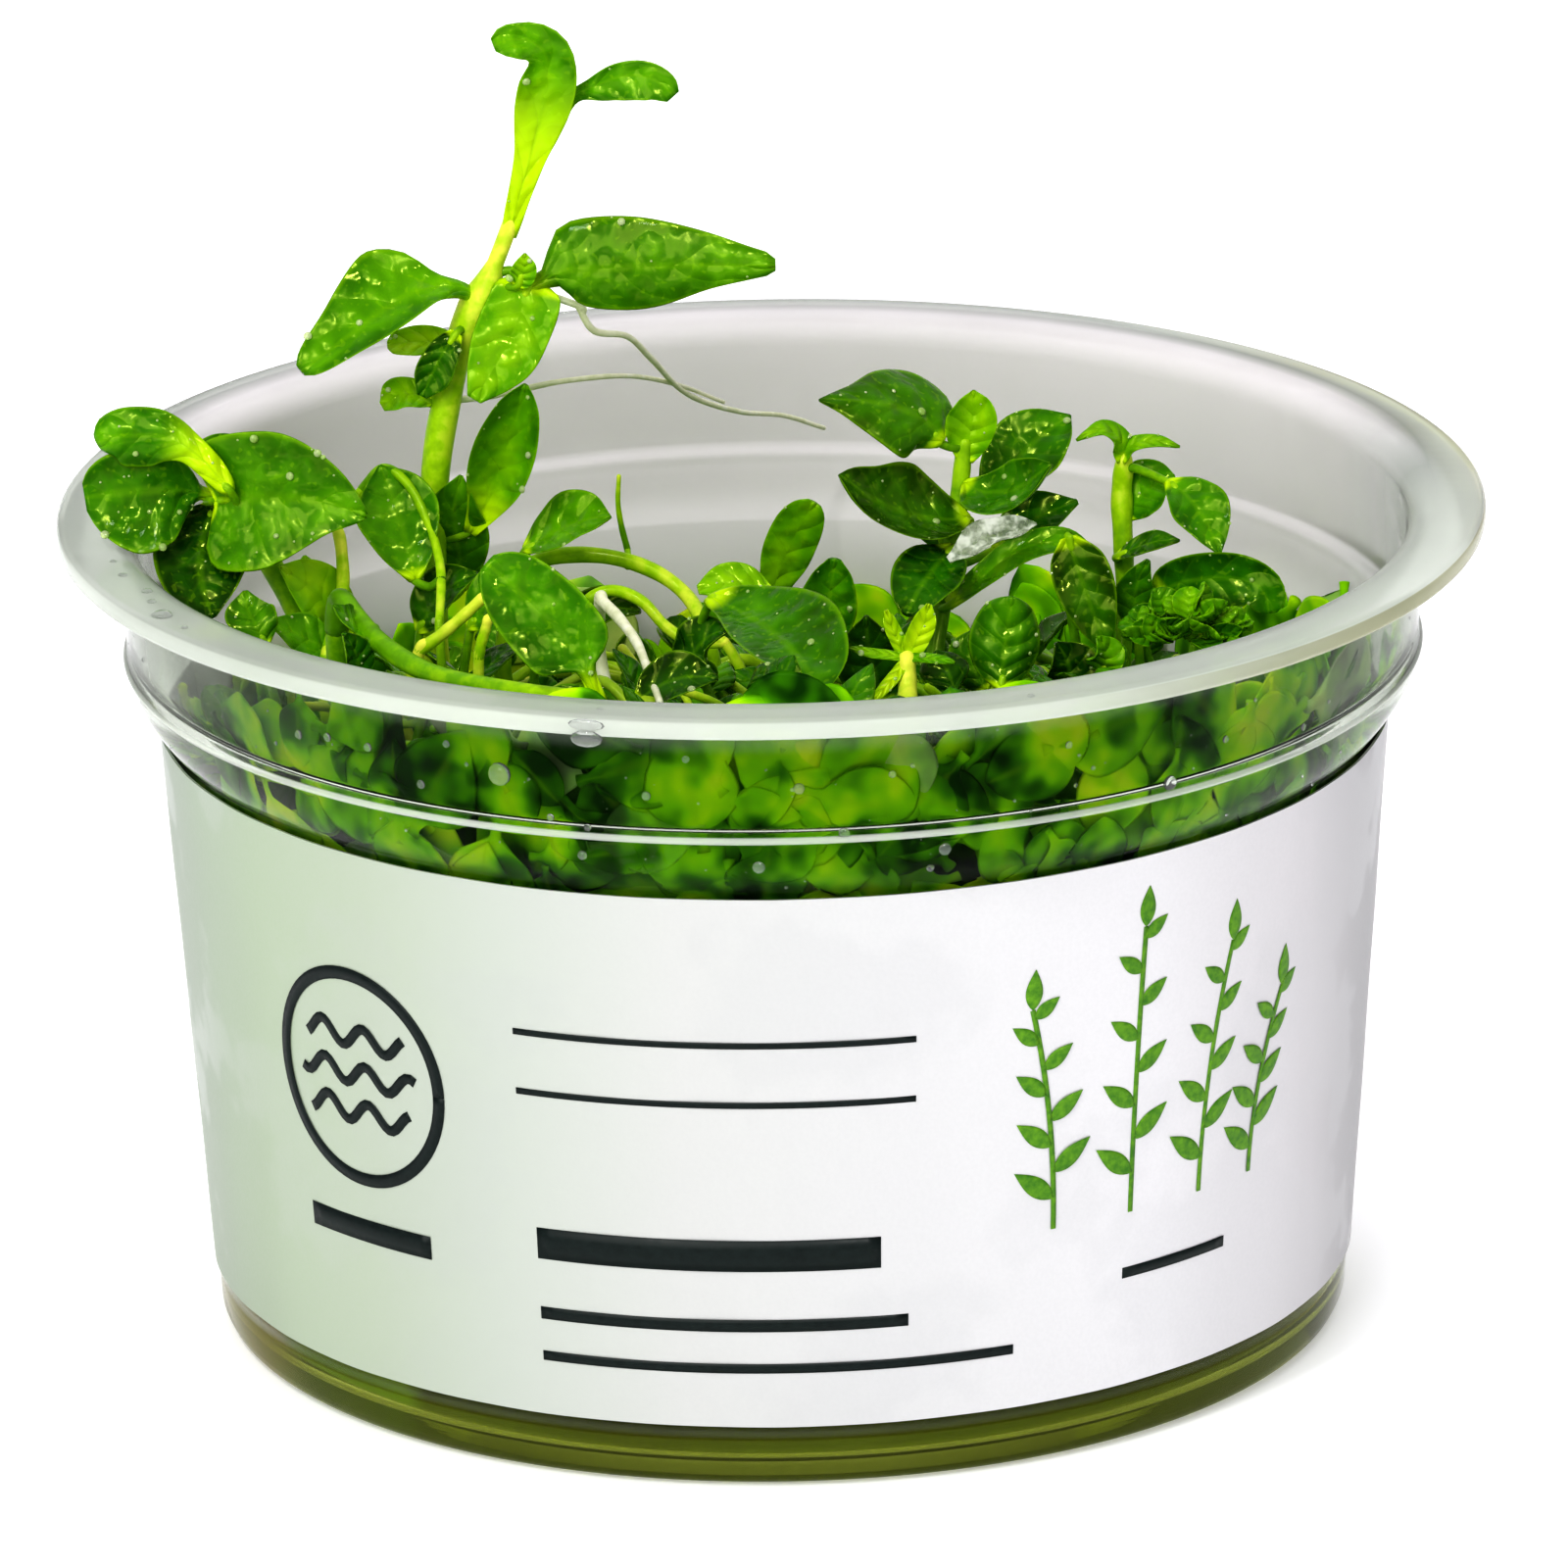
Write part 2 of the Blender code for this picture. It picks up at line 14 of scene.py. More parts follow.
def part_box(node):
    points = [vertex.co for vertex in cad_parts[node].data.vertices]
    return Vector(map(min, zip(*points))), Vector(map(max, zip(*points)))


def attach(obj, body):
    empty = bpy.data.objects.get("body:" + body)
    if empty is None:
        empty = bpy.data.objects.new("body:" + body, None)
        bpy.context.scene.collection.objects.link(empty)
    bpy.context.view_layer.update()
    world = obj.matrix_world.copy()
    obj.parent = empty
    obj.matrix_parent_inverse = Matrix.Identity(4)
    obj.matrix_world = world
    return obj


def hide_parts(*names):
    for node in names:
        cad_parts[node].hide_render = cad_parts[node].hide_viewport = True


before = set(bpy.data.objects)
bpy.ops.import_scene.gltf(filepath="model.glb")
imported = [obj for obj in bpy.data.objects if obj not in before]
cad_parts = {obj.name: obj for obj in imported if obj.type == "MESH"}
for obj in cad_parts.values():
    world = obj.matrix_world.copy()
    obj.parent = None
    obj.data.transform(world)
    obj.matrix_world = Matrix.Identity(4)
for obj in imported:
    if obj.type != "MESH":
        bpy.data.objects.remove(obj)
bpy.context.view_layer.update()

MM = 0.001
rng = np.random.default_rng(11)

# Camera: a long lens, a little above the rim
LENS_MM = 360
SENSOR_MM = 36
CAMERA_DISTANCE = 1.1037
CAMERA_PITCH = radians(18.236)
CAMERA_ROLL = radians(-0.940)
CAMERA_TARGET = Vector((0.0006, 0, 0.03774))

# Cup, in the same sizes as the solid
CUP_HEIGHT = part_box("cup")[1].z
RIM_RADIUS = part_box("cup")[1].x
NECK_RADIUS = 0.0453
BODY_RADIUS = 0.0430
BASE_RADIUS = 0.0398
SHOULDER_LOW = 0.0440
SHOULDER_TOP = 0.0486
WALL = 0.0008
LEDGE = 0.0007
RIM_LIP_DROP = 0.0015
RIM_EDGE_ROUND = 0.0006
RIM_ROUND = 0.0021
UNDER_RIM_ROUND = 0.0013
RIDGE_PROUD = 0.00028
RIDGE_HALF_HEIGHT = 0.0003
FOOT_INNER_RADIUS = 0.0362
FOOT_RECESS = 0.0007
BASE_ROUND = 0.0012
FLOOR_ROUND = 0.0020
FOOT_TINT_TOP = 0.0034
FOOT_BEND = 0.0046
CUP_STEPS = 192

# Label and its printing
LABEL_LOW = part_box("label")[0].z
LABEL_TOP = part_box("label")[1].z
LABEL_GAP = 0.00006
LABEL_THICKNESS = 0.00018
LABEL_LAP = radians(3)
PRINT_GAP = 0.00004
PRINT_THICKNESS = 0.00002

# Gel and low growth
GEL_TOP = 0.0110
GEL_GAP = 0.00002
GROWTH_HEIGHT = 0.0455
GROWTH_SLOPE = 0.24
GROWTH_LUMP = 0.0009
CORE_DEPTH = 0.0045
BARE_LEFT = radians(152)
SPRIG_SPACING = 6.6
WINDING_STEMS = 60
WALL_LEAVES = 760
CURLED_LEAVES = 46

BLADE_THICKNESS = 0.00034
SMALL_DROPS = 260

# Outlines of the small leaves: share of the length, and half width as a share of the widest
OUTLINES = {
    "ovate": [(0, 0.14), (0.14, 0.14), (0.26, 0.72), (0.42, 1), (0.66, 0.84), (0.88, 0.36), (1, 0.04)],
    "oval": [(0, 0.12), (0.16, 0.14), (0.32, 0.74), (0.56, 1), (0.8, 0.76), (0.94, 0.38), (1, 0.04)],
    "spoon": [(0, 0.12), (0.34, 0.15), (0.48, 0.62), (0.68, 1), (0.88, 0.74), (0.97, 0.36), (1, 0.04)],
}
FACINGS = {"front": (0, -1, 0.25), "up": (0, -0.7, 1)}


def numbers(text):
    """Rows of numbers: spaces between numbers, commas between rows."""
    return [tuple(float(number) for number in row.split()) for row in text.split(",")]


# Leaves, each as: name, the way that the upper side faces, how deep the blade is dished, its tone from
# dark (0) to bright (1), and where it has them how far its base is pale, how far its base lobes reach
# back, how quilted it is and how many drops of dew it bears / points along the midrib / shares of its
# length, each with the half width there, or with those to the left and to the right
LEAF_TABLE = """
top_left front .25 .4 pale .74 dew 2 / -18 6.2 76.5, -17.4 5.6 78.9, -16.5 5.5 82, -15.7 5.6 85,
  -15.1 5.5 87.6, -15.2 5 89.8, -16.2 4.6 91, -17.6 4.3 91.2, -18.8 4 90.9 / 0 .55, .08 .7, .2 .85,
  .34 1.15, .44 1.6, .54 1.95, .65 1.95 2.05, .77 1.25 1.85, .88 1.45 1.2, .96 1.15 1, 1 .5;
top_right front .25 .46 pale .26 dew 2 / -14.9 6.4 84.3, -14.1 6.6 85.5, -13.1 6.6 86.5, -11.9 6.4 87.1,
  -10.3 6 87.9, -8.6 5.6 88.1, -7.2 5.3 87.6, -6.3 5 86.7 / 0 .3, .12 .6, .24 .45 .5, .34 .55 .75,
  .46 .75 1.35, .62 .95 1.75, .8 1.05 1.7, .93 .9 1.2, 1 .5 .6;
tall_left up .26 .42 dew 4 / -20 6 71.7, -21.7 5.2 72.8, -24.1 4.2 73.1, -26.4 3 72.2, -29.1 1.5 70.7,
  -31.3 .6 69.3, -32.6 0 68.6 / 0 .5, .12 .7, .24 1.3, .34 1.9 3.5, .44 2.1 4.3, .6 2.1 3.5, .76 1.8 2.5,
  .9 1.4 1.7, .97 1 1.1, 1 .5 .6;
tall_right front -.16 .37 pale .26 quilt .015 dew 5 / -19.5 6 71.4, -17.5 5.8 72.3, -15.6 5.4 73.4,
  -14.2 5.2 74, -12.2 5 74.2, -9.1 4.4 74.5, -5.5 3.8 74.7, -2.1 3.3 74.8, .6 3 74.9 / 0 .8, .12 .8,
  .22 .75 .7, .265 2.3 1.1, .3 3.3 2, .37 3.65 2.7, .5 3.6 3, .62 3.2 2.7, .78 2.3 1.6, .92 1.3 .95,
  .97 .95 .75, 1 .45 .4;
tall_bract front .1 .64 pale .1 / -16.7 5.4 73.2, -17.4 4.4 71.1, -18.7 3.2 68.6, -20.6 1.8 65.8 / 0 1.6,
  .08 2.5 2.3, .35 2.6, .6 2.5 2.4, .8 1.7, 1 .5 .6;
tall_bud front .4 .66 / -17.5 4.8 73.2, -17 4.6 74.3, -16.9 4.6 75.6 / 0 .5, .3 .9, .7 .8, 1 .1;
tall_small up .3 .74 / -21.7 5 68.9, -23.1 5.4 68.9, -24.9 5.6 68.9, -26.7 5.6 68.7 / 0 .5, .25 1 1.1,
  .6 1.5 1.3, .9 1.1 .9, 1 .3;
tall_low up .3 .62 / -23.7 4.8 64.7, -24.8 4.6 65.3, -26 4.4 65.3, -27.1 4.3 64.6 / 0 .4, .3 1.2,
  .7 1.3 1.4, 1 .4;
left_far front -.3 .33 pale .62 dew 5 / -37.4 -9.8 62.9, -38.8 -9.6 64.7, -40.3 -9.2 66, -42 -8.8 66.7,
  -43.9 -8.6 66.8, -45.6 -8.6 66.7, -46.6 -8.4 66.2 / 0 .4, .05 .7, .2 .95, .38 1.1, .5 1.6 1.5,
  .64 2.2 1.9, .82 2.2 1.9, .94 1.5 1.4, 1 .7;
left_round front .3 .28 pale .2 lobes .2 quilt .06 dew 11 / -38.5 -5.6 61.3, -39.7 -6.2 61.8, -41 -7 62.3,
  -42.7 -7.8 62.6, -45.2 -8.2 62.6, -47.6 -8.4 62.3 / 0 .55, .16 .55, .26 1.9 1.4, .4 3.6 2.4, .6 4.4 2.9,
  .8 3.8 2.7, .94 2.4 1.9, 1 1;
left_heart front .22 .33 pale .02 lobes .55 quilt .06 dew 16 / -38.4 -8.4 61.9, -36.4 -9 62.3,
  -33.7 -9.6 62.4, -30.7 -10.4 62.2, -28 -11 61.4 / 0 .6, .03 2.6 2.8, .12 4.2 4.8, .28 4.6 5.1,
  .46 4.4 4.5, .64 3.5 3.3, .82 2 1.9, .95 .8, 1 .3;
left_behind up .3 .26 / -38 -1 60.4, -38.4 .5 61.3, -38 2 62.5, -37.2 3 63.1 / 0 .5, .3 1.6, .65 1.9 1.7,
  1 .1;
left_hanging up .3 0 pale .05 / -38.8 -4.8 60.4, -39.6 -7 58.5, -39.7 -9.4 56.6, -38.9 -11.6 54.4 / 0 .6,
  .2 2.6 2.4, .5 3.6 3.2, .8 2.6 2.4, 1 .4;
front front .16 .31 pale .25 quilt .02 dew 5 / -11.8 -37.5 56, -12.4 -37.3 57.7, -13.2 -37 59.4,
  -15 -36.2 61.4, -17.1 -35.4 63.4, -19.3 -35 65.4 / 0 .6, .2 .65, .26 1.8 1.9, .33 2.9 2.8, .5 3.15 3,
  .7 2.9 2.8, .85 2.3 2.4, .95 1.4 1.6, 1 .6 .7;
standing front .8 .5 pale .36 dew 8 / -21.1 3 55.8, -19.8 2.7 58.3, -18.7 2.2 61.3, -17.8 1.6 64.2,
  -17 1 67.1 / 0 .5, .16 1.1, .4 2.1 2, .65 2.3 2.1, .86 1.7 1.6, .95 1, 1 .3;
low_round up .3 .36 dew 3 / -17.3 3 54.3, -15.6 2.4 55.5, -13.4 1.7 56.7, -11.2 1 57.3 / 0 .4,
  .25 1.8 1.4, .55 2.6 1.9, .82 1.9 1.4, 1 .1;
low_arched up .3 .38 dew 5 / -24.9 -4.5 54.6, -25.5 -3 56.8, -26.3 -1 59, -27.3 0 61.7 / 0 .5, .25 2.2 2,
  .55 3.1 2.9, .82 2.2, 1 .1;
low_left up .3 .68 / -31.5 -1 50.2, -32 .5 51.9, -32.6 2 53.3, -32.8 2.5 54.4 / 0 .5, .25 1.8, .6 2.3 2.2,
  1 .1;
front_left up .3 .45 / -27.4 -20.5 56.3, -28.4 -22 56.8, -29.3 -23 57.9, -30.1 -23.5 58.9 / 0 .4, .3 1.2,
  .65 1.3 1.2, 1 .1;
centre_standing front .15 .58 / -.2 16.5 46.1, .6 15.6 48.7, 1.7 14.8 51.5, 3.1 14 54.1 / 0 .8, .2 1.2,
  .45 1.75, .75 1.8 1.7, .93 1.3 1.2, 1 .6;
centre_upright front .35 .36 dew 4 / 3.2 -2 47.9, 3.7 -2.4 50.3, 4.1 -3 53, 4.4 -3.5 55.4 / 0 .6,
  .25 1.7 1.6, .55 2.2 2, .85 1.5 1.4, 1 .5;
centre_left up .3 .62 / 0 1 51.5, -1.6 .6 52.1, -3.3 .3 52.4, -5.2 0 52.1 / 0 .4, .3 1.3 1.5, .65 1.5 1.6,
  1 .4;
centre_big up .3 .26 lobes .25 quilt .07 dew 12 / -4.3 -13 55.5, -2.5 -15 55.3, -.2 -19 55, 1.8 -23 54.1,
  3.2 -26.5 52.6 / 0 .5, .14 2.09 1.32, .38 3.85 2.53, .62 4.29 2.75, .84 3.08 1.87, .95 1.43 .99, 1 .1;
middle_top up -.24 .26 pale .1 lobes .25 quilt .06 dew 8 / 12 7.6 60.3, 10.9 7.2 62, 8.7 6.6 63.3,
  6.1 5.8 64, 3.5 5 64.4 / 0 .4, .12 1.7 3.2, .28 3.3 4.6, .5 3.2 3.9, .72 1.9 2, .9 .7 .8, 1 .1;
middle_bud front .5 .62 / 13.7 8.3 58.8, 14.1 8.3 60.5, 14.4 8.4 62.3, 14.4 8.5 63.9 / 0 .6, .3 1.6 1.4,
  .62 1.9 1.7, .87 1.2 1.1, 1 .1;
middle_back up .22 .2 dew 4 / 15.1 10 55.6, 16.9 11 57.3, 19 12.2 59.1, 21.3 13.5 60.4 / 0 .6,
  .25 2.1 2.3, .55 2.8 3, .82 1.8 2, 1 .1;
middle_right up .55 .34 dew 4 / 13.6 7.4 57.2, 15.3 6.4 57, 17.5 5.2 57.7, 19.8 4 59.7 / 0 .4,
  .22 1.3 2.86, .55 1.82 3.77, .82 1.3 2.34, 1 .1;
middle_left up .55 .2 quilt .05 dew 5 / 14 6.8 54.8, 11.8 5.8 55.2, 9.5 4.8 56, 7 3.8 57.5, 4.8 3 59.5 /
  0 .4, .16 1.95 1.83, .38 3.66 3.05, .6 3.66 2.93, .82 2.68 1.83, .94 1.34 .98, 1 .1;
middle_low up .3 .12 / 12.7 3.6 53.8, 11.4 1 53.1, 10.3 -1.2 52.3, 9.4 -3 51 / 0 .5, .25 2, .6 2.6 2.4,
  .9 1.5 1.4, 1 .4;
arching up .35 .5 dew 3 / 12.4 2.5 49.9, 14.9 2.6 52, 17.5 2.7 53.8, 20.4 2.8 54.4, 22.9 2.8 53.4 / 0 .5,
  .2 .9 1, .5 1.1 1.4, .8 1 1.2, 1 .1;
middle_round front -.42 .26 quilt .09 dew 5 / 15.7 -20 50.9, 15.9 -19.4 53, 16.2 -18.8 55, 16.5 -18.5 57.2
  / 0 .5, .2 1.9 1.8, .5 2.6 2.4, .8 2 1.8, .94 1.1 1, 1 .1;
star_left up .3 .66 / 9.2 -20.6 53.5, 8 -20.4 53.6, 6.8 -20.2 53.7, 5.2 -20 54.1 / 0 .35, .4 .45, .8 .35,
  1 .1;
star_right up .3 .55 / 9.2 -20.6 53.5, 10.3 -20.8 53.5, 11.4 -21.2 53.5, 12.5 -21.5 53.4 / 0 .35, .4 .45,
  .8 .35, 1 .1;
star_top front .4 .94 / 9.2 -20.4 53.1, 9.8 -20.2 54.5, 10.4 -20.1 55.8, 10.8 -20 57.2 / 0 .45, .35 .85,
  .75 .8, 1 .2;
right_top_left up .3 .56 / 25 10 58.4, 24.5 9.6 59.9, 23.5 9.3 60.6, 22.4 9.1 60.3, 21.6 9 59.9 / 0 .9,
  .3 .9, .55 .75, .8 .4, 1 .1;
right_top_right up .3 .54 / 24.9 10 58.4, 25.7 9.6 59.3, 27.3 9.3 59.6, 28.9 9 59.3 / 0 .9, .3 .7,
  .65 .55, 1 .1;
right_upper up .3 .34 / 25.1 9.5 54, 26.1 9.6 55.4, 27.4 9.7 56.4, 28.6 9.8 56.5 / 0 .5, .3 1.9 1.8,
  .65 2.2 2, 1 .5;
right_far up .3 .38 dew 4 / 28 7.4 57.2, 29.3 6 56.5, 30.5 4.5 55.2, 31.5 3 53.2 / 0 .4, .22 1.6 1.4,
  .5 2.2 2.1, .78 1.3, 1 .1;
right_lower up .3 .3 / 24.4 7 51.9, 25.7 6.2 52.7, 27.1 5.3 53.4, 28.7 4.5 53.8 / 0 .4, .3 .9, .65 1, 1 .1;
right_hanging front .3 .16 dew 3 / 20.8 1 55.3, 21.5 .3 52.9, 22.4 -.6 50.3, 23.4 -1.2 47.7 / 0 .6,
  .2 2 1.8, .5 2.2 1.9, .8 1.4 1.2, 1 .3;
right_wide front .3 .28 dew 4 / 27.1 2 50.7, 28.6 1 51.8, 30.9 -.5 52.6, 32.9 -1.4 52.7, 34.4 -2 52,
  34.7 -2.4 50.5 / 0 .8, .12 1.5 1.4, .32 1.8 2.2, .6 1.8 2.3, .8 1.6 1.7, .94 1.2, 1 .6;
star_back front .4 .84 / 9.1 -20.2 53.2, 8.7 -20 54.4, 8.2 -19.8 55.5, 7.8 -19.6 56.7 / 0 .4, .35 .55,
  .75 .5, 1 .15;
star_low up .3 .9 / 9.1 -20.8 53.3, 8.4 -21.2 52.4, 7.7 -21.6 51.7, 6.8 -22 50.8 / 0 .4, .4 .5, .8 .4,
  1 .1;
by_stem front .3 .36 / -21.9 4 51.2, -22 3.4 54.4, -22.2 2.6 57.5, -21.7 2 60.2 / 0 .4, .2 1.6, .5 2.3,
  .8 1.6, 1 .2;
by_stem_left up .3 .2 / -24.2 5 53.5, -25.7 5 55.9, -27 5 57.3, -28.4 5 58.2 / 0 .4, .25 1.4 1.5, .6 1.8,
  1 .2;
under_heart up .2 .76 / -29.6 -6 50.9, -30.8 -6.5 53.1, -32.3 -7 55, -34.2 -7.5 56.7 / 0 .5, .2 1.8,
  .5 2.6 2.5, .8 1.7, 1 .2;
under_heart_low up .3 .5 / -30.1 -9 50.7, -31.3 -9.5 51.4, -32.9 -10 52.4, -35 -10.5 53.7 / 0 .4, .25 1.5,
  .6 1.9 1.8, 1 .2;
rim_left up .3 .26 / -35.2 -14 53, -35.7 -14 54.3, -36.3 -13 55.2, -36.5 -12 56.4 / 0 .4, .25 1.4,
  .6 1.8 1.7, 1 .2;
rim_drop up .3 .28 / -27.9 -24 53.6, -28.4 -24.5 54.9, -28.8 -25 56.2, -29.4 -25.5 57.5 / 0 .4, .25 1.2,
  .6 1.4 1.3, 1 .2;
tangle_high up .3 .3 / -21.1 -6 51.5, -19.7 -6.5 53.6, -18 -7 54.9, -16.2 -7.5 55.4 / 0 .4, .25 1.6,
  .6 2.1 1.9, 1 .2;
tangle_low up .3 .2 / -24.7 -3 50.4, -23.6 -3.5 52.6, -22.3 -4 54, -20.5 -4.5 55 / 0 .4, .25 1.6,
  .6 2 1.9, 1 .2;
shade_left up .3 .13 / -15.8 4 48.2, -13.7 3.6 49.1, -11.5 3 49.9, -9.3 2 50 / 0 .4, .25 1.5 1.7,
  .6 1.8 2.1, 1 .2;
shade_centre up .3 .12 / -6.8 -12 49.6, -5.6 -12.5 51.3, -4.5 -13 52.7, -3 -14 53.7 / 0 .4, .25 1.6 1.7,
  .6 2, 1 .2;
shade_front up .3 .16 dew 5 / -9.4 -26 52.3, -7.9 -26 53.4, -6 -26.5 54.2, -3.8 -27 54.3 / 0 .4,
  .25 1.6 1.7, .6 2.1 2, 1 .2;
by_star front .3 .14 / 7.6 -10 46.8, 7.1 -10.5 49, 6.6 -11 51.3, 6.5 -11.5 53.7 / 0 .4, .2 1.7,
  .5 2.5 2.4, .8 1.7, 1 .2;
by_round front -.3 .28 / 14.7 -16 49.6, 13.9 -15.5 50.9, 13.6 -15 52.2, 14.1 -14.6 53.6 / 0 .4, .25 1.3,
  .6 1.6, 1 .2;
shade_right up .3 .08 / 20.7 -8 46.6, 20.7 -8 47.8, 20.4 -8 49.1, 19.7 -8 50.4 / 0 .4, .25 1.6, .6 2, 1 .2;
pale_right up .3 .6 / 22.9 -8 47.8, 23.1 -8.2 48.8, 23.1 -8.4 49.9, 22.6 -8.6 51 / 0 .4, .25 1.1,
  .6 1.4 1.3, 1 .2;
right_inner front .3 .3 / 25.6 2 48.1, 25.4 1.6 50.1, 25.7 1.2 52, 26.4 1 53.5 / 0 .4, .25 1.1, .6 1.4,
  1 .2;
middle_inner up .3 .28 / 12.4 8 52.2, 11.3 8.4 53.6, 10.6 8.6 55, 10.1 8.8 56.5 / 0 .4, .25 1, .6 1.3 1.2,
  1 .2;
middle_far up .3 .16 / 15.7 9 51.9, 17.5 9.5 53.1, 19.3 10 54.1, 21.7 10.5 54.9 / 0 .4, .25 1.6, .6 2.1 2,
  1 .2;
tall_under front .3 .2 / -21.8 4.2 70, -22.8 3.6 68.7, -23.6 3.4 67.2, -24.3 3.3 65.7 / 0 .5, .3 1.2 1.1,
  .7 1.4 1.2, 1 .4
"""
LEAVES = {}
for entry in LEAF_TABLE.split(";"):
    heading, midrib, widths = entry.split("/")
    name, facing, dish, tone, *extras = heading.split()
    LEAVES["leaf_" + name] = (
        numbers(midrib), [(u, half[0], half[-1]) for u, *half in numbers(widths)], FACINGS[facing],
        float(dish), float(tone), dict(zip(extras[::2], map(float, extras[1::2]))),
    )
DRIED_LEAF = (
    [(12.4, -1, 54.3), (14.3, -0.7, 55.4), (16.4, -0.3, 56.1), (18.6, 0, 56.6)],
    [(0, 0.3, 0.3), (0.3, 1.1, 1), (0.7, 1.2, 1), (1, 0.1, 0.1)], FACINGS["up"], 0.5,
)

# Stems and bare roots, each as: name, lower radius, upper radius, tone / points that it runs through /
# where it swells at its nodes, as share of its length and times the even taper's radius
STEM_TABLE = """
stem_tall 1.05 .6 .8 / -23.9 1.5 49.3, -23.9 3 54.6, -23.4 4 60.7, -22.5 5 65.4, -21.6 5.6 68.8,
  -20.1 6 71.6, -19 6 74.5, -18 6.1 77.1, -17.4 6.3 79 / 0 1.05, .375 1.15, .5 1.32, .6 1.85, .64 1.9,
  .75 .88, .9 .85, 1 .9;
stem_left .75 .85 .58 / -31.4 -6.5 48.4, -34 -5.8 54.6, -36.5 -4.5 58.6, -38.4 -3.6 61;
stem_middle .65 .6 .45 / 11.1 1 45.2, 12 4 50, 12.8 7 54.1, 13.4 8 57.4, 13.7 8.5 60;
stem_right .55 1 .62 / 24.7 6 44.1, 24.9 8 49.3, 24.8 9 53.3, 24.8 9.8 56, 25 10 58.1 / 0 1, .6 .95,
  .85 .8, 1 .6;
stem_star .75 .6 .92 / 9.1 -24.5 49.9, 9.2 -21.5 51.4, 9.2 -20.5 53.4;
stem_front .85 .6 .42 / -30.1 -16.5 55.1, -29.8 -18 57.6, -28.6 -21 57.1, -26.4 -25 56.2, -23.4 -29 55.7,
  -18.6 -34 56.1, -13.2 -37.6 56.5;
stem_arched .62 .5 .66 / -18.5 4.5 50.4, -17.4 5.3 52.1, -15.7 5.8 52.9, -12.9 6 53, -10.2 6 52.5,
  -7.7 5.5 51.5, -5.8 4 50.2, -4.6 1 48.7;
stem_looped .36 .32 .58 / -28.6 1 59.6, -27.1 .5 61.3, -25.4 -.6 60.5, -24 -2 58.1, -23.1 -5 55.6,
  -23.2 -9 52.6;
stem_pale .5 .42 .8 / -31 -11 51.1, -30.4 -9 53.2, -29.9 -6.5 54.8, -30 -4.6 57.1, -30.3 -3.5 58.4;
twig_tangle .46 .4 .86 / -24.5 -12 51.9, -23 -12 53, -21.6 -12 54.2, -20.1 -12 55.6;
twig_front .4 .36 .8 / -20.4 -14 51.9, -20.2 -14 53, -19.9 -14 53.9, -19.7 -14 54.7;
twig_arched .46 .38 .72 / -13.6 2.5 48.8, -13 2 50.8, -11.3 2 51.6, -9.2 1 51.1, -7.5 0 49.5,
  -5.6 -1 48.6, -3.4 -2 48.9;
twig_thin .24 .16 .6 / -10.2 10 52.1, -10.6 10 53.9, -10.8 10 55.6, -10.7 10 57.5;
twig_middle .5 .4 .55 / 12.4 6 50.1, 12.7 7 52, 12.4 7.6 54, 11.4 8 55.6;
root_long .26 .16 .5 / -13.3 6.4 71.2, -12.2 7.2 69.1, -9.9 10 67.8, -8.3 14.5 64.8, -5.9 24 59.3,
  -2.3 30 56.1, 1 36 53.9, 3.9 40 51.7;
root_short .24 .14 .5 / -19.6 6.6 64.6, -16.9 7.5 64.9, -14.1 8.5 65.1, -10 14 63.7, -6.6 22 60.6,
  -3.3 31 56.5;
root_front .45 .25 .5 / -12 -6 53.5, -10.6 -11 53.6, -9.4 -16.5 53.6, -8.6 -23 53.7, -7.8 -28 53
"""
STEMS = {}
for entry in STEM_TABLE.split(";"):
    heading, points, *nodes = entry.split("/")
    name, *sizes = heading.split()
    STEMS[name] = (*map(float, sizes), numbers(points), numbers(nodes[0]) if nodes else None)

# Stems whose upper end also bends back into the growth
HELD_TIPS = ("stem_arched", "stem_looped", "twig_arched")

# Large drops: x, z and radius on the neck's outside, x, y and radius on the rim
WALL_DEW = numbers("""
-18.6 52.4 .85, -15.2 49.7 .28, -12.7 49.2 .28, -32.4 52.3 .34, -30.4 52.7 .34, -27.6 52.7 .34, 1.6 52.3 .41,
4.6 49 .41, 26.8 49.4 .55, 36.2 50.2 .28, 36.3 48.8 .21, -13.1 47.1 .35, -1.2 46.6 .45, 11.4 47.3 .45,
10.4 45.8 .3, -24 50.8 .34, -6 54.4 .28, 7.9 53 .28, 19.9 53.6 .28, 30.7 51.4 .28, -8.7 51.7 .34, -22.2 54 .28
""")
RIM_DEW = numbers("""
-43 -19 .41, -41.8 -24.6 .75, -42.6 -21.4 .34, -44.8 -15.2 .34, -40.2 -27.4 .3, -45.6 -12 .25,
17.3 -45.6 .28, -11.7 -46.9 .21
""")


def catmull_rom(points, steps):
    """Points on a smooth curve that passes through the given ones."""
    points = np.asarray(points, float)
    ends = np.vstack([2 * points[0] - points[1], points, 2 * points[-1] - points[-2]])
    t = np.linspace(0, 1, steps, endpoint=False)[:, None]
    made = []
    for a, b, c, d in zip(ends, ends[1:], ends[2:], ends[3:]):
        made.append(0.5 * (
            2 * b + (c - a) * t + (2 * a - 5 * b + 4 * c - d) * t ** 2 + (3 * b - a - 3 * c + d) * t ** 3
        ))
    return np.vstack([*made, points[-1:]])


def unit(vectors):
    return vectors / np.maximum(np.linalg.norm(vectors, axis=-1, keepdims=True), 1e-12)


def smoothstep(low, high, x):
    t = np.clip((x - low) / (high - low), 0, 1)
    return t * t * (3 - 2 * t)


def around_axis(radius, angle, z):
    """Places at a radius and an angle about the cup's axis."""
    return np.stack(np.broadcast_arrays(radius * np.cos(angle), radius * np.sin(angle), z), axis=-1)


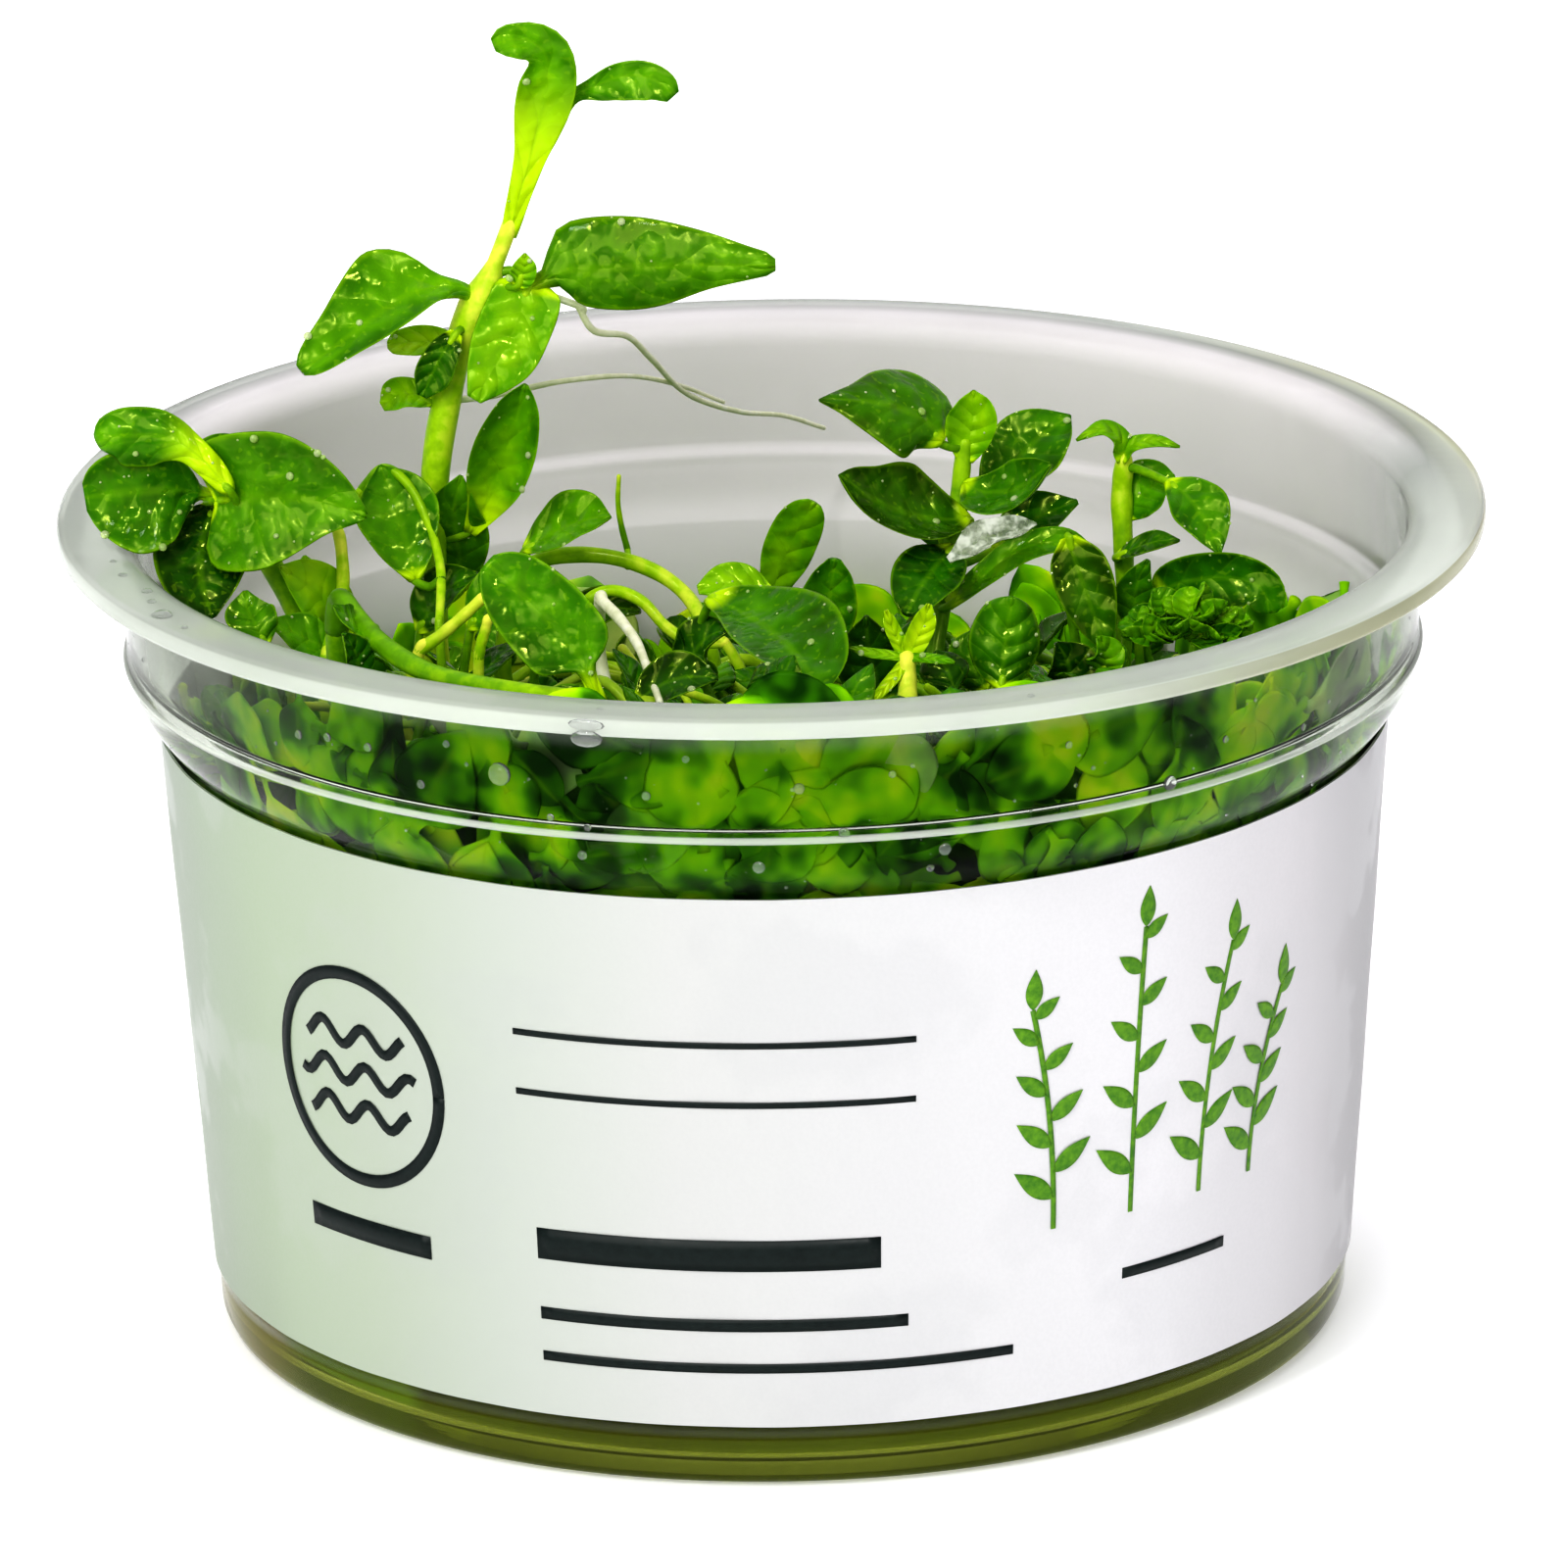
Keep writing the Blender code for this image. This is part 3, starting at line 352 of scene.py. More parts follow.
def kept_inside(rings, gap=0.00025):
    """The rings, with whatever would reach through the cup's wall pressed back against it."""
    radius = np.hypot(rings[..., 0], rings[..., 1])
    limit = np.interp(rings[..., 2], WALL_HEIGHTS, INNER_RADII) - gap
    pressed = np.minimum(1, limit / np.maximum(radius, 1e-6))
    return rings * np.stack([pressed, pressed, np.ones_like(radius)], axis=-1)


class Shells:
    """Closed shells, each a row of rings with its two ends capped, gathered into one mesh. Every point
    carries its place on its own shell and the shell's look."""

    def __init__(self):
        self.points, self.faces, self.place, self.look, self.count = [], [], [], [], 0

    def add(self, rings, place=0.0, look=(0.0, 0.0, 0.0)):
        rows, around = rings.shape[:2]
        index = self.count + np.arange(rows * around).reshape(rows, around)
        after = np.roll(index, -1, axis=1)
        quads = np.stack([index[:-1], after[:-1], after[1:], index[1:]], axis=-1).reshape(-1, 4)
        self.faces += quads.tolist()
        self.faces += [index[0][::-1].tolist(), index[-1].tolist()]
        for kept, values in ((self.points, rings), (self.place, place), (self.look, look)):
            kept.append(np.broadcast_to(np.asarray(values, float), rings.shape).reshape(-1, 3))
        self.count += rows * around
        return self

    def build(self, name, finish, slot, node=None):
        """The mesh as a piece of the part, in place of the node where the frame has it."""
        mesh = bpy.data.meshes.new(name)
        mesh.from_pydata(np.vstack(self.points).tolist(), [], self.faces)
        for key, values in (("place", self.place), ("look", self.look)):
            layer = mesh.attributes.new(key, "FLOAT_VECTOR", "POINT")
            layer.data.foreach_set("vector", np.vstack(values).astype(np.float32).ravel())
        mesh.validate()
        mesh.shade_smooth()
        mesh.materials.append(finish)
        obj = bpy.data.objects.new(name, mesh)
        bpy.context.scene.collection.objects.link(obj)
        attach(obj, "root")
        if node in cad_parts:
            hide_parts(node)
        return obj


def blade(midrib, widths, face, dish, steps=30, around=26, ripple=0.03, quilt=0.03, phase=0.0, lobes=0.0):
    """Rings of one leaf, in metres, and each point's (share of length, place across, side)."""
    path = catmull_rom(midrib, 8)
    walked = np.concatenate([[0], np.cumsum(np.linalg.norm(np.diff(path, axis=0), axis=1))])
    u = np.linspace(0, 1, steps + 1) ** 0.95
    centre = np.stack([np.interp(u * walked[-1], walked, path[:, i]) for i in range(3)], axis=1)
    outline = catmull_rom(widths, 5)
    left, right = (np.maximum(np.interp(u, outline[:, 0], outline[:, i]), 0.05) for i in (1, 2))
    half = (left + right) / 2
    widest = half.max()
    along = unit(np.gradient(centre, axis=0))
    face = np.asarray(face, float)
    facing = unit(face - (along @ face)[:, None] * along)
    across = np.cross(facing, along)
    turn = np.linspace(0, 2 * pi, around, endpoint=False)
    v, side = np.cos(turn), np.sin(turn)
    reach = np.where(v > 0, left[:, None], right[:, None]) * v
    blade_share = smoothstep(0.10, 0.45, half / widest)
    thin = BLADE_THICKNESS / MM
    thick = np.minimum(thin + (1.7 * half - thin) * (1 - blade_share) * (u < 0.5), 1.7 * half)
    wide = (half / widest * blade_share)[:, None]
    edge = np.abs(v)
    lift = dish * np.abs(reach) * edge
    lift = lift + ripple * widest * wide * edge ** 2 * np.sin(10.7 * u[:, None] + phase + (v > 0) * 1.9)
    lift = lift - 0.05 * widest * wide * np.exp(-(v / 0.11) ** 2)
    puffs = np.abs(np.sin(pi * 4.5 * (u[:, None] - 0.22 * edge) + phase))
    lift = lift + quilt * widest * wide * (puffs - 0.6) * np.minimum(1, edge * 4) * (1 - edge ** 3)
    back = lobes * np.abs(reach) * edge * np.exp(-(u[:, None] / 0.16) ** 2)
    rings = centre[:, None] + across[:, None] * reach[..., None] - along[:, None] * back[..., None]
    rings = rings + facing[:, None] * (lift + thick[:, None] / 2 * side)[..., None]
    place = np.stack(np.broadcast_arrays(u[:, None], v[None], side[None]), axis=-1)
    return rings * MM, place


def small_blade(foot, tip, sag, width, face, dish, outline, steps, phase=0.0):
    """A small leaf with one of the common outlines; sag is how far its middle stands off the straight."""
    middle = (foot + tip) / 2 + sag
    widths = [(u, share * width / 2, share * width / 2) for u, share in OUTLINES[outline]]
    return blade([foot, middle, tip], widths, face, dish, steps, steps, 0.05, 0.0, phase)


def tube(points, start_radius, end_radius, steps=6, around=12, wobble=0.0, nodes=None):
    """Rings of one stem that tapers along a smooth curve, in metres."""
    path = catmull_rom(points, steps)
    share = np.linspace(0, 1, len(path))
    radius = start_radius + (end_radius - start_radius) * share
    radius = radius * (1 + wobble * np.sin(share * 23 + start_radius * 90))
    if nodes:
        radius = radius * np.interp(share, *np.transpose(nodes))
    along = unit(np.gradient(path, axis=0))
    for end, way in ((0, -1), (-1, 1)):
        rounding = (0.5, 1.0, 1.35)
        centres = [path[end] + along[end] * way * radius[end] * sin(t) for t in rounding]
        sizes = [radius[end] * cos(t) for t in rounding]
        order = slice(None, None, way)
        pieces = ([path, centres], [along, [along[end]] * 3], [radius, sizes], [share, [share[end]] * 3])
        path, along, radius, share = (np.concatenate((list(a), list(b)[order])[::way]) for a, b in pieces)
    side = np.cross(along[0], (0.3, 0.2, 1.0) if abs(along[0][2]) < 0.9 else (1.0, 0.2, 0))
    rings = []
    turn = np.linspace(0, 2 * pi, around, endpoint=False)[:, None]
    for centre, direction, r in zip(path, along, radius):
        side = unit(side - side @ direction * direction)
        rings.append(centre + r * (np.cos(turn) * side + np.sin(turn) * np.cross(direction, side)))
    place = np.stack(np.broadcast_arrays(share[:, None], np.cos(turn.T), np.sin(turn.T)), axis=-1)
    return np.array(rings) * MM, place


def drop(spot, normal, radius, height=0.6, wide=1.0):
    """Rings of one dome of water that sits on a surface; wide stretches it level."""
    normal = unit(np.asarray(normal, float))
    side = unit(np.cross((0.03, 0.05, 1), normal))
    other = np.cross(normal, side)
    turn = np.linspace(0, 2 * pi, 12, endpoint=False)[:, None]
    rings = []
    for share, rise in ((0.80, -0.12), (1.0, 0.06), (0.94, 0.42), (0.74, 0.76), (0.44, 0.95), (0.13, 1.0)):
        ring = np.cos(turn) * side * wide + np.sin(turn) * other
        rings.append(spot + radius * (share * ring + rise * height * normal))
    return np.array(rings)


def wall_radius(z):
    """Outer radius of the cup's wall: a slight taper, the shoulder's quarter wave, the straight neck."""
    if z <= SHOULDER_LOW:
        return BASE_RADIUS + (BODY_RADIUS - BASE_RADIUS) * z / SHOULDER_LOW
    if z < SHOULDER_TOP:
        share = (z - SHOULDER_LOW) / (SHOULDER_TOP - SHOULDER_LOW)
        return BODY_RADIUS + (NECK_RADIUS - BODY_RADIUS) * sin(pi / 2 * share)
    return NECK_RADIUS


def inner_radius(z):
    """Inner radius of the wall, with the ledge that the shoulder has inside."""
    rise = smoothstep(SHOULDER_TOP + 0.0008, SHOULDER_TOP - 0.0001, z)
    fade = smoothstep(SHOULDER_LOW + 0.0004, SHOULDER_TOP - 0.0008, z)
    return wall_radius(z) - WALL - LEDGE * float(rise * fade)


WALL_HEIGHTS = np.linspace(0, CUP_HEIGHT, 240)
INNER_RADII = np.array([inner_radius(z) for z in WALL_HEIGHTS])


def turned(profile):
    """Rings of a turned body, from the axis down its inside or top, round, and back to the axis."""
    profile = np.array([(max(r, 1e-6), z) for r, z in profile])
    turn = np.linspace(0, 2 * pi, CUP_STEPS, endpoint=False)[::-1]
    return around_axis(profile[:, :1], turn, profile[:, 1:])


def arc(centre_r, centre_z, radius, start, end, steps):
    """Points (r, z) on an arc, from one angle to another in degrees, both ends included."""
    angles = np.radians(np.linspace(start, end, steps + 1))
    return [(centre_r + radius * cos(a), centre_z + radius * sin(a)) for a in angles]


def growth_top(x, y):
    """Height of the low growth at a place in plan: a slope with soft lumps."""
    lumps = np.sin(x * 520 + 1.1) * np.cos(y * 430 - 0.4) + 0.6 * np.sin((x + y) * 690)
    return GROWTH_HEIGHT - GROWTH_SLOPE * y + GROWTH_LUMP * lumps


def growth_top_mm(x, y):
    return growth_top(x * MM, y * MM) / MM


class Looks:
    """A Principled material, and the nodes that its colour, gloss and relief come from."""

    def __init__(self, name, **values):
        self.material = bpy.data.materials.new(name)
        self.material.use_nodes = True
        self.tree = self.material.node_tree
        self.shader = self.tree.nodes["Principled BSDF"]
        self.set(**values)

    def set(self, **values):
        """Sets or links the shader's sockets, and gives the material."""
        for socket, value in values.items():
            self.put(self.shader.inputs[socket.replace("_", " ")], value)
        return self.material

    def put(self, socket, value):
        if isinstance(value, bpy.types.NodeSocket):
            self.tree.links.new(value, socket)
        elif socket.type == "RGBA" and len(value) == 3:
            socket.default_value = (*value, 1)
        else:
            socket.default_value = value

    def add(self, kind, settings=None, **inputs):
        node = self.tree.nodes.new("ShaderNode" + kind)
        for key, value in (settings or {}).items():
            setattr(node, key, value)
        for key, value in inputs.items():
            self.put(node.inputs[key.replace("_", " ")], value)
        return node

    def position(self):
        return self.add("TexCoord").outputs["Object"]

    def parts(self, vector):
        return self.add("SeparateXYZ", Vector=vector).outputs

    def attribute(self, name):
        """The three parts of a vector that the mesh's points carry."""
        return self.parts(self.add("Attribute", {"attribute_name": name}).outputs["Vector"])

    def noise(self, scale, detail=3.0, roughness=0.55):
        node = self.add("TexNoise", Scale=scale, Detail=detail, Roughness=roughness, Vector=self.position())
        return node.outputs["Fac"]

    def math(self, operation, *values):
        node = self.add("Math", {"operation": operation})
        for socket, value in zip(node.inputs, values):
            self.put(socket, value)
        return node.outputs[0]

    def total(self, first, *others):
        for other in others:
            first = self.math("ADD", first, other)
        return first

    def times(self, a, b):
        return self.math("MULTIPLY", a, b)

    def spread(self, value, low, high, to_low=0.0, to_high=1.0, smooth=True):
        """value, from low..high to to_low..to_high, and held at the ends."""
        node = self.add(
            "MapRange", {"interpolation_type": "SMOOTHSTEP" if smooth else "LINEAR"},
            Value=value, From_Min=low, From_Max=high, To_Min=to_low, To_Max=to_high,
        )
        return node.outputs["Result"]

    def ramp(self, share, *stops):
        node = self.add("ValToRGB", Fac=share)
        elements = node.color_ramp.elements
        while len(elements) < len(stops):
            elements.new(0.5)
        for element, (place, colour) in zip(elements, stops):
            element.position = place
            element.color = (*colour, 1)
        return node.outputs["Color"]

    def layers(self, colour, *coats):
        """A colour with others laid over it in turn, each as (share, colour)."""
        for share, coat in coats:
            node = self.add("Mix", {"data_type": "RGBA"})
            for socket, value in ((0, share), (6, colour), (7, coat)):
                self.put(node.inputs[socket], value)
            colour = node.outputs[2]
        return colour

    def bump(self, height, distance, strength=1.0, **under):
        node = self.add("Bump", Height=height, Distance=distance, Strength=strength, **under)
        return node.outputs["Normal"]

    def grained(self, colour, grain, smoothest, roughest, **relief):
        """The material, rougher where its grain is high."""
        roughness = self.spread(grain, 0.3, 0.7, smoothest, roughest)
        return self.set(Base_Color=colour, Roughness=roughness, **relief)


def leaf_looks(name):
    """Wet living leaf: tone from dark to young, pale midrib and side veins, painted shade that darkens the
    blade towards its edge, a thin edge painted lighter as a highlight, paler underside, fine mottling, a soft
    gloss under a wet coat."""
    look = Looks(
        name, Specular_IOR_Level=0.42, Specular_Tint=(0.85, 0.98, 0.2), Coat_Weight=0.04, Coat_Roughness=0.05,
    )
    along, across, side = look.attribute("place")
    tone, chance, young = look.attribute("look")
    puff = look.noise(620, 1)
    from_rib = look.math("ABSOLUTE", across)
    shade = look.total(
        tone, look.spread(look.noise(240, 2), 0.3, 0.7, -0.04, 0.04),
        # painted shade: the blade darkens from the midrib out towards its edge
        look.spread(puff, 0.3, 0.7, -0.05, 0.06), look.spread(from_rib, 0.30, 0.85, 0.02, -0.08),
        look.spread(look.noise(110, 0), 0.35, 0.65, -0.07, 0.06),
    )
    slanted = look.total(
        along, look.times(from_rib, -0.22), look.spread(look.noise(330, 0), 0.3, 0.7, -0.035, 0.035),
    )
    veins = look.math("ABSOLUTE", look.math("SINE", look.times(slanted, 4.5 * pi)))
    colour = look.layers(
        look.ramp(
            shade, (0.0, (0.006, 0.052, 0.0001)), (0.28, (0.038, 0.200, 0.0001)),
            (0.50, (0.130, 0.400, 0.0002)), (0.72, (0.300, 0.600, 0.0006)), (1.0, (0.600, 0.840, 0.0060)),
        ),
        (look.spread(along, look.times(young, 0.4), young, 0.9, 0.0), (0.60, 0.88, 0.002)),
        (look.spread(from_rib, 0.02, 0.14, 0.26, 0.0), (0.20, 0.46, 0.0006)),
        (look.spread(veins, 0.04, 0.40, 0.10, 0.0), (0.16, 0.40, 0.0006)),
        # painted highlight: the thin edge of the blade is laid lighter, as if it caught the light
        (look.spread(from_rib, 0.88, 0.985, 0.0, 0.38), (0.30, 0.58, 0.002)),
        (look.spread(side, -0.2, -0.5, 0.0, 0.30), (0.18, 0.40, 0.004)),
        (look.spread(chance, 0, 1, 0.0, 0.16), (0.30, 0.40, 0.001)),
        (look.spread(look.noise(2400, 0), 0.66, 0.76, 0.0, 0.14), (0.42, 0.72, 0.010)),
    )
    height = look.total(puff, look.times(veins, 0.24))
    return look.grained(colour, puff, 0.13, 0.30, Normal=look.bump(height, 0.00056, 0.85))


def pressed_looks(name):
    """A wet leaf that clings to the clear wall: strong colour, no gloss of its own."""
    look = Looks(name, Specular_IOR_Level=0.05)
    _, across, _ = look.attribute("place")
    tone, chance, _ = look.attribute("look")
    soft = look.noise(130, 2)
    shade = look.total(
        look.times(tone, 0.35), look.spread(soft, 0.34, 0.66, -0.05, 0.58),
        look.spread(look.noise(420, 1), 0.32, 0.68, -0.15, 0.18),
    )
    colour = look.layers(
        look.ramp(
            shade, (0.0, (0.008, 0.055, 0.0001)), (0.26, (0.065, 0.260, 0.0002)),
            (0.50, (0.230, 0.620, 0.0003)), (0.76, (0.460, 0.840, 0.0010)), (1.0, (0.700, 0.900, 0.020)),
        ),
        (look.spread(look.math("ABSOLUTE", across), 0.02, 0.18, 0.22, 0.0), (0.26, 0.54, 0.001)),
        (look.spread(chance, 0.80, 1, 0.0, 0.55), (0.52, 0.58, 0.36)),
    )
    return look.grained(colour, soft, 0.35, 0.55, Normal=look.bump(soft, 0.0008, 0.5))


def stem_looks(name):
    """Translucent fleshy stem: fine lengthwise streaks, brighter towards the tip."""
    look = Looks(
        name, Specular_IOR_Level=0.5, Specular_Tint=(0.8, 0.9, 0.2), Coat_Weight=0.08, Coat_Roughness=0.08,
    )
    along, _, _ = look.attribute("place")
    tone, chance, _ = look.attribute("look")
    streak = look.noise(700, 3)
    shade = look.total(
        tone, look.spread(streak, 0.3, 0.7, -0.12, 0.12), look.spread(along, 0, 1, -0.30, 0.14, smooth=False),
    )
    colour = look.ramp(
        shade, (0.0, (0.05, 0.16, 0.001)), (0.35, (0.16, 0.40, 0.002)), (0.65, (0.42, 0.70, 0.004)),
        (1.0, (0.98, 0.99, 0.120)),
    )
    colour = look.layers(colour, (look.spread(chance, 0, 1, 0.0, 0.5), (0.66, 0.64, 0.10)))
    return look.grained(colour, streak, 0.28, 0.48, Normal=look.bump(streak, 0.00008, 0.5))


def root_looks(name):
    """Pale bare root with fine streaks."""
    look = Looks(name)
    streak = look.noise(900, 2)
    colour = look.ramp(
        streak, (0.3, (0.76, 0.78, 0.50)), (0.55, (0.90, 0.90, 0.66)), (0.75, (0.96, 0.96, 0.80)),
    )
    return look.grained(colour, streak, 0.35, 0.6, Normal=look.bump(streak, 0.00006, 0.6))


def plastic_looks(name):
    """Clear moulded plastic: see-through walls, milky where the rim and the ridge are thick. The points
    carry how milky it is, how far along the profile they lie, and which tint they take."""
    look = Looks(name, IOR=1.18, Specular_IOR_Level=0.5, Specular_Tint=(0.22, 0.22, 0.22))
    milk, line, part = look.attribute("place")
    cloud = look.times(milk, look.spread(look.noise(90, 1), 0.3, 0.7, 0.95, 1.04))
    tint = look.ramp(
        look.spread(part, -1.0, 1.0, smooth=False), (0.0, (0.90, 0.87, 0.875)), (0.35, (0.52, 0.545, 0.505)),
        (0.5, (0.68, 0.715, 0.65)), (0.7, (0.88, 0.92, 0.85)), (0.94, (0.30, 0.27, 0.025)),
        (1.0, (0.44, 0.49, 0.11)),
    )
    streak = look.add("TexNoise", {"noise_dimensions": "1D"}, W=line, Scale=4200.0, Detail=1.0)
    relief = look.total(look.noise(60, 1), look.times(streak.outputs["Fac"], 0.03))
    return look.set(
        Base_Color=tint,
        Transmission_Weight=look.spread(cloud, 0.0, 1.0, 1.0, 0.0, smooth=False),
        Roughness=look.spread(cloud, 0.0, 1.0, 0.0, 0.28, smooth=False),
        Normal=look.bump(relief, 0.00012, 0.4),
    )


def paper_looks(name):
    """Coated label stock: nearly white, with faint damp blotches and a fine tooth. Across the front it
    carries
    painted light and shade: painted green light at the left, brightest right of the middle, darker at both
    sides, and darker still where the sheet turns from view; it is plain behind."""
    look = Looks(name, Specular_IOR_Level=0.5, Coat_Weight=0.15, Coat_Roughness=0.25)
    blotch = look.noise(45, 4, 0.6)
    damp = look.spread(blotch, 0.52, 0.60, 0.0, 1.0)
    fibre = look.noise(3500, 3)
    x, y, _ = look.parts(look.position())
    facing = look.add("LayerWeight", Blend=0.5).outputs["Facing"]
    colour = look.layers(
        # painted light and shade across the front: green light at the left, brightest right of the middle,
        # darker at both sides
        look.ramp(
            look.spread(x, -0.043, 0.043, smooth=False),
            (0.02, (0.41, 0.50, 0.37)), (0.08, (0.39, 0.47, 0.335)), (0.17, (0.43, 0.49, 0.385)),
            (0.27, (0.49, 0.53, 0.47)), (0.42, (0.58, 0.585, 0.57)), (0.58, (0.635, 0.635, 0.635)),
            (0.80, (0.76, 0.755, 0.765)), (0.93, (0.66, 0.645, 0.655)), (0.98, (0.50, 0.495, 0.50)),
        ),
        (look.spread(y, -0.004, 0.022), (0.62, 0.62, 0.615)),
        # painted shade: the sheet darkens where it turns away from the camera
        (look.spread(facing, 0.45, 0.92, 0.0, 0.33), (0.02, 0.02, 0.02)),
        (look.times(damp, 0.12), (0.44, 0.45, 0.46)),
        (look.spread(fibre, 0.3, 0.7, 0.0, 0.08), (0.48, 0.49, 0.49)),
    )
    return look.set(
        Base_Color=colour, Roughness=look.spread(damp, 0, 1, 0.42, 0.30),
        Normal=look.bump(fibre, 0.00002, 0.4, Normal=look.bump(blotch, 0.0002, 0.25)),
    )


def ink_looks(name, dark, light):
    """Matt printing ink, unevenly laid."""
    look = Looks(name, Specular_IOR_Level=0.25, Coat_Weight=0.03, Coat_Roughness=0.25)
    grain = look.noise(1800, 3)
    return look.grained(look.ramp(grain, (0.3, dark), (0.7, light)), grain, 0.38, 0.5)


def gel_looks(name):
    """Cloudy wet gel: olive, with painted shade that darkens it above its lowest layer, as a shadow under the
    label's edge, and yellow-green and golden patches at the left."""
    look = Looks(name, Roughness=0.22, Specular_IOR_Level=0.15)
    cloud = look.noise(60, 2)
    x, _, z = look.parts(look.position())
    patch = look.noise(26, 1)
    green = look.times(look.spread(patch, 0.26, 0.50), look.spread(x, -0.0265, -0.0245, 0.95, 0.12))
    gold = look.times(look.spread(cloud, 0.35, 0.55), look.spread(x, -0.0355, -0.0340, 0.9, 0.0))
    colour = look.layers(
        look.ramp(cloud, (0.30, (0.20, 0.25, 0.08)), (0.50, (0.32, 0.38, 0.14)), (0.72, (0.52, 0.58, 0.22))),
        # painted shadow of the label's lower edge: the gel darkens above its lowest layer
        (look.spread(z, 0.0021, 0.0028, 0.0, 0.85), (0.085, 0.110, 0.030)),
        (green, (0.55, 0.98, 0.06)), (gold, (0.95, 0.60, 0.03)),
    )
    return look.set(Base_Color=colour, Normal=look.bump(cloud, 0.0003, 0.4))


def core_looks(name):
    """The shade between the leaves: very dark wet greens and browns."""
    look = Looks(name, Specular_IOR_Level=0.1)
    lump = look.noise(420, 4)
    colour = look.ramp(
        lump, (0.3, (0.008, 0.035, 0.001)), (0.5, (0.035, 0.12, 0.001)), (0.72, (0.11, 0.27, 0.004)),
    )
    return look.grained(colour, lump, 0.3, 0.6, Normal=look.bump(lump, 0.0008, 0.8))


def water_looks(name, pale, low, high):
    """Water drops; pale is the share of a drop's brightness that is its own diffuse colour, a painted
    highlight laid in for glints.
    """
    look = Looks(name, IOR=1.33, Transmission_Weight=1 - pale, Roughness=0.02, Coat_Weight=pale)
    ripple = look.noise(500, 1)
    colour = look.ramp(ripple, (0.3, low), (0.7, high))
    return look.set(Base_Color=colour, Normal=look.bump(ripple, 0.00003, 0.1))


def dried_looks(name):
    """A dead leaf, bleached and papery: clear with whitish veins."""
    look = Looks(name, Roughness=0.25, IOR=1.2)
    film = look.noise(1100, 2)
    return look.set(
        Base_Color=look.ramp(film, (0.35, (0.54, 0.60, 0.46)), (0.65, (0.84, 0.87, 0.77))),
        Transmission_Weight=look.spread(film, 0.35, 0.62, 0.8, 0.15), Normal=look.bump(film, 0.0003, 0.6),
    )


def floor_looks(name):
    """Plain pale floor, a little bright of its own so that it stays clean under the cup."""
    look = Looks(name, Roughness=0.6, Emission_Strength=0.28)
    pale = look.ramp(look.noise(30, 2), (0.3, (0.90, 0.90, 0.905)), (0.7, (0.92, 0.92, 0.925)))
    return look.set(Base_Color=pale, Emission_Color=pale)


def placed(obj):
    bpy.context.scene.collection.objects.link(obj)
    return obj


def make_camera():
    forward = Vector((0, cos(CAMERA_PITCH), -sin(CAMERA_PITCH)))
    level, up = Vector((1, 0, 0)), Vector((0, sin(CAMERA_PITCH), cos(CAMERA_PITCH)))
    right = cos(CAMERA_ROLL) * level + sin(CAMERA_ROLL) * up
    top = cos(CAMERA_ROLL) * up - sin(CAMERA_ROLL) * level
    lens = bpy.data.cameras.new("camera")
    lens.lens, lens.sensor_width = LENS_MM, SENSOR_MM
    camera = placed(bpy.data.objects.new("camera", lens))
    turn = Matrix((right, top, -forward)).transposed().to_4x4()
    camera.matrix_world = Matrix.Translation(CAMERA_TARGET - forward * CAMERA_DISTANCE) @ turn
    bpy.context.scene.camera = camera


def add_light(name, place, size, power, colour=(1, 1, 1), mirrored=True, lights=True):
    """A square light that faces the plants; one that isn't mirrored gives no gloss, and one that doesn't
    light gives nothing else."""
    data = bpy.data.lights.new(name, "AREA")
    data.size, data.energy, data.color = size, power, colour
    light = placed(bpy.data.objects.new(name, data))
    light.location = place
    light.visible_glossy, light.visible_diffuse = mirrored, lights
    light.rotation_euler = (Vector((0, 0, 0.04)) - Vector(place)).to_track_quat("-Z", "Y").to_euler()


def make_studio():
    world = bpy.data.worlds.new("studio")
    world.use_nodes = True
    sky = world.node_tree.nodes["Background"].inputs
    sky["Color"].default_value, sky["Strength"].default_value = (0.97, 0.95, 1.0, 1), 0.38
    scene = bpy.context.scene
    scene.world = world
    scene.view_settings.view_transform = "Standard"
    scene.view_settings.look = "High Contrast"
    add_light("key", (-0.38, -0.76, 0.60), 0.60, 3.5, (0.985, 1.0, 0.96))
    add_light("spark", (-0.30, -0.50, 0.80), 0.08, 1.5)
    add_light("glint", (0.22, -0.62, 0.78), 0.10, 2.4, lights=False)
    add_light("fill", (0.50, -0.85, 0.35), 0.7, 0.8, (0.98, 0.95, 1.0))
    add_light("back", (0.15, 0.65, 0.75), 0.9, 2.9, mirrored=False)
    mesh = bpy.data.meshes.new("floor")
    reach = 3.0
    corners = [(-reach, -reach, 0), (reach, -reach, 0), (reach, reach, 0), (-reach, reach, 0)]
    mesh.from_pydata(corners, [], [(0, 1, 2, 3)])
    mesh.materials.append(floor_looks("floor"))
    mesh.materials[0].cycles.emission_sampling = "NONE"
    floor = placed(bpy.data.objects.new("floor", mesh))
    floor.location.z = -0.0001
    for kind, bounces in (("max", 8), ("diffuse", 3), ("glossy", 2), ("transmission", 7)):
        setattr(scene.cycles, kind + "_bounces", bounces)


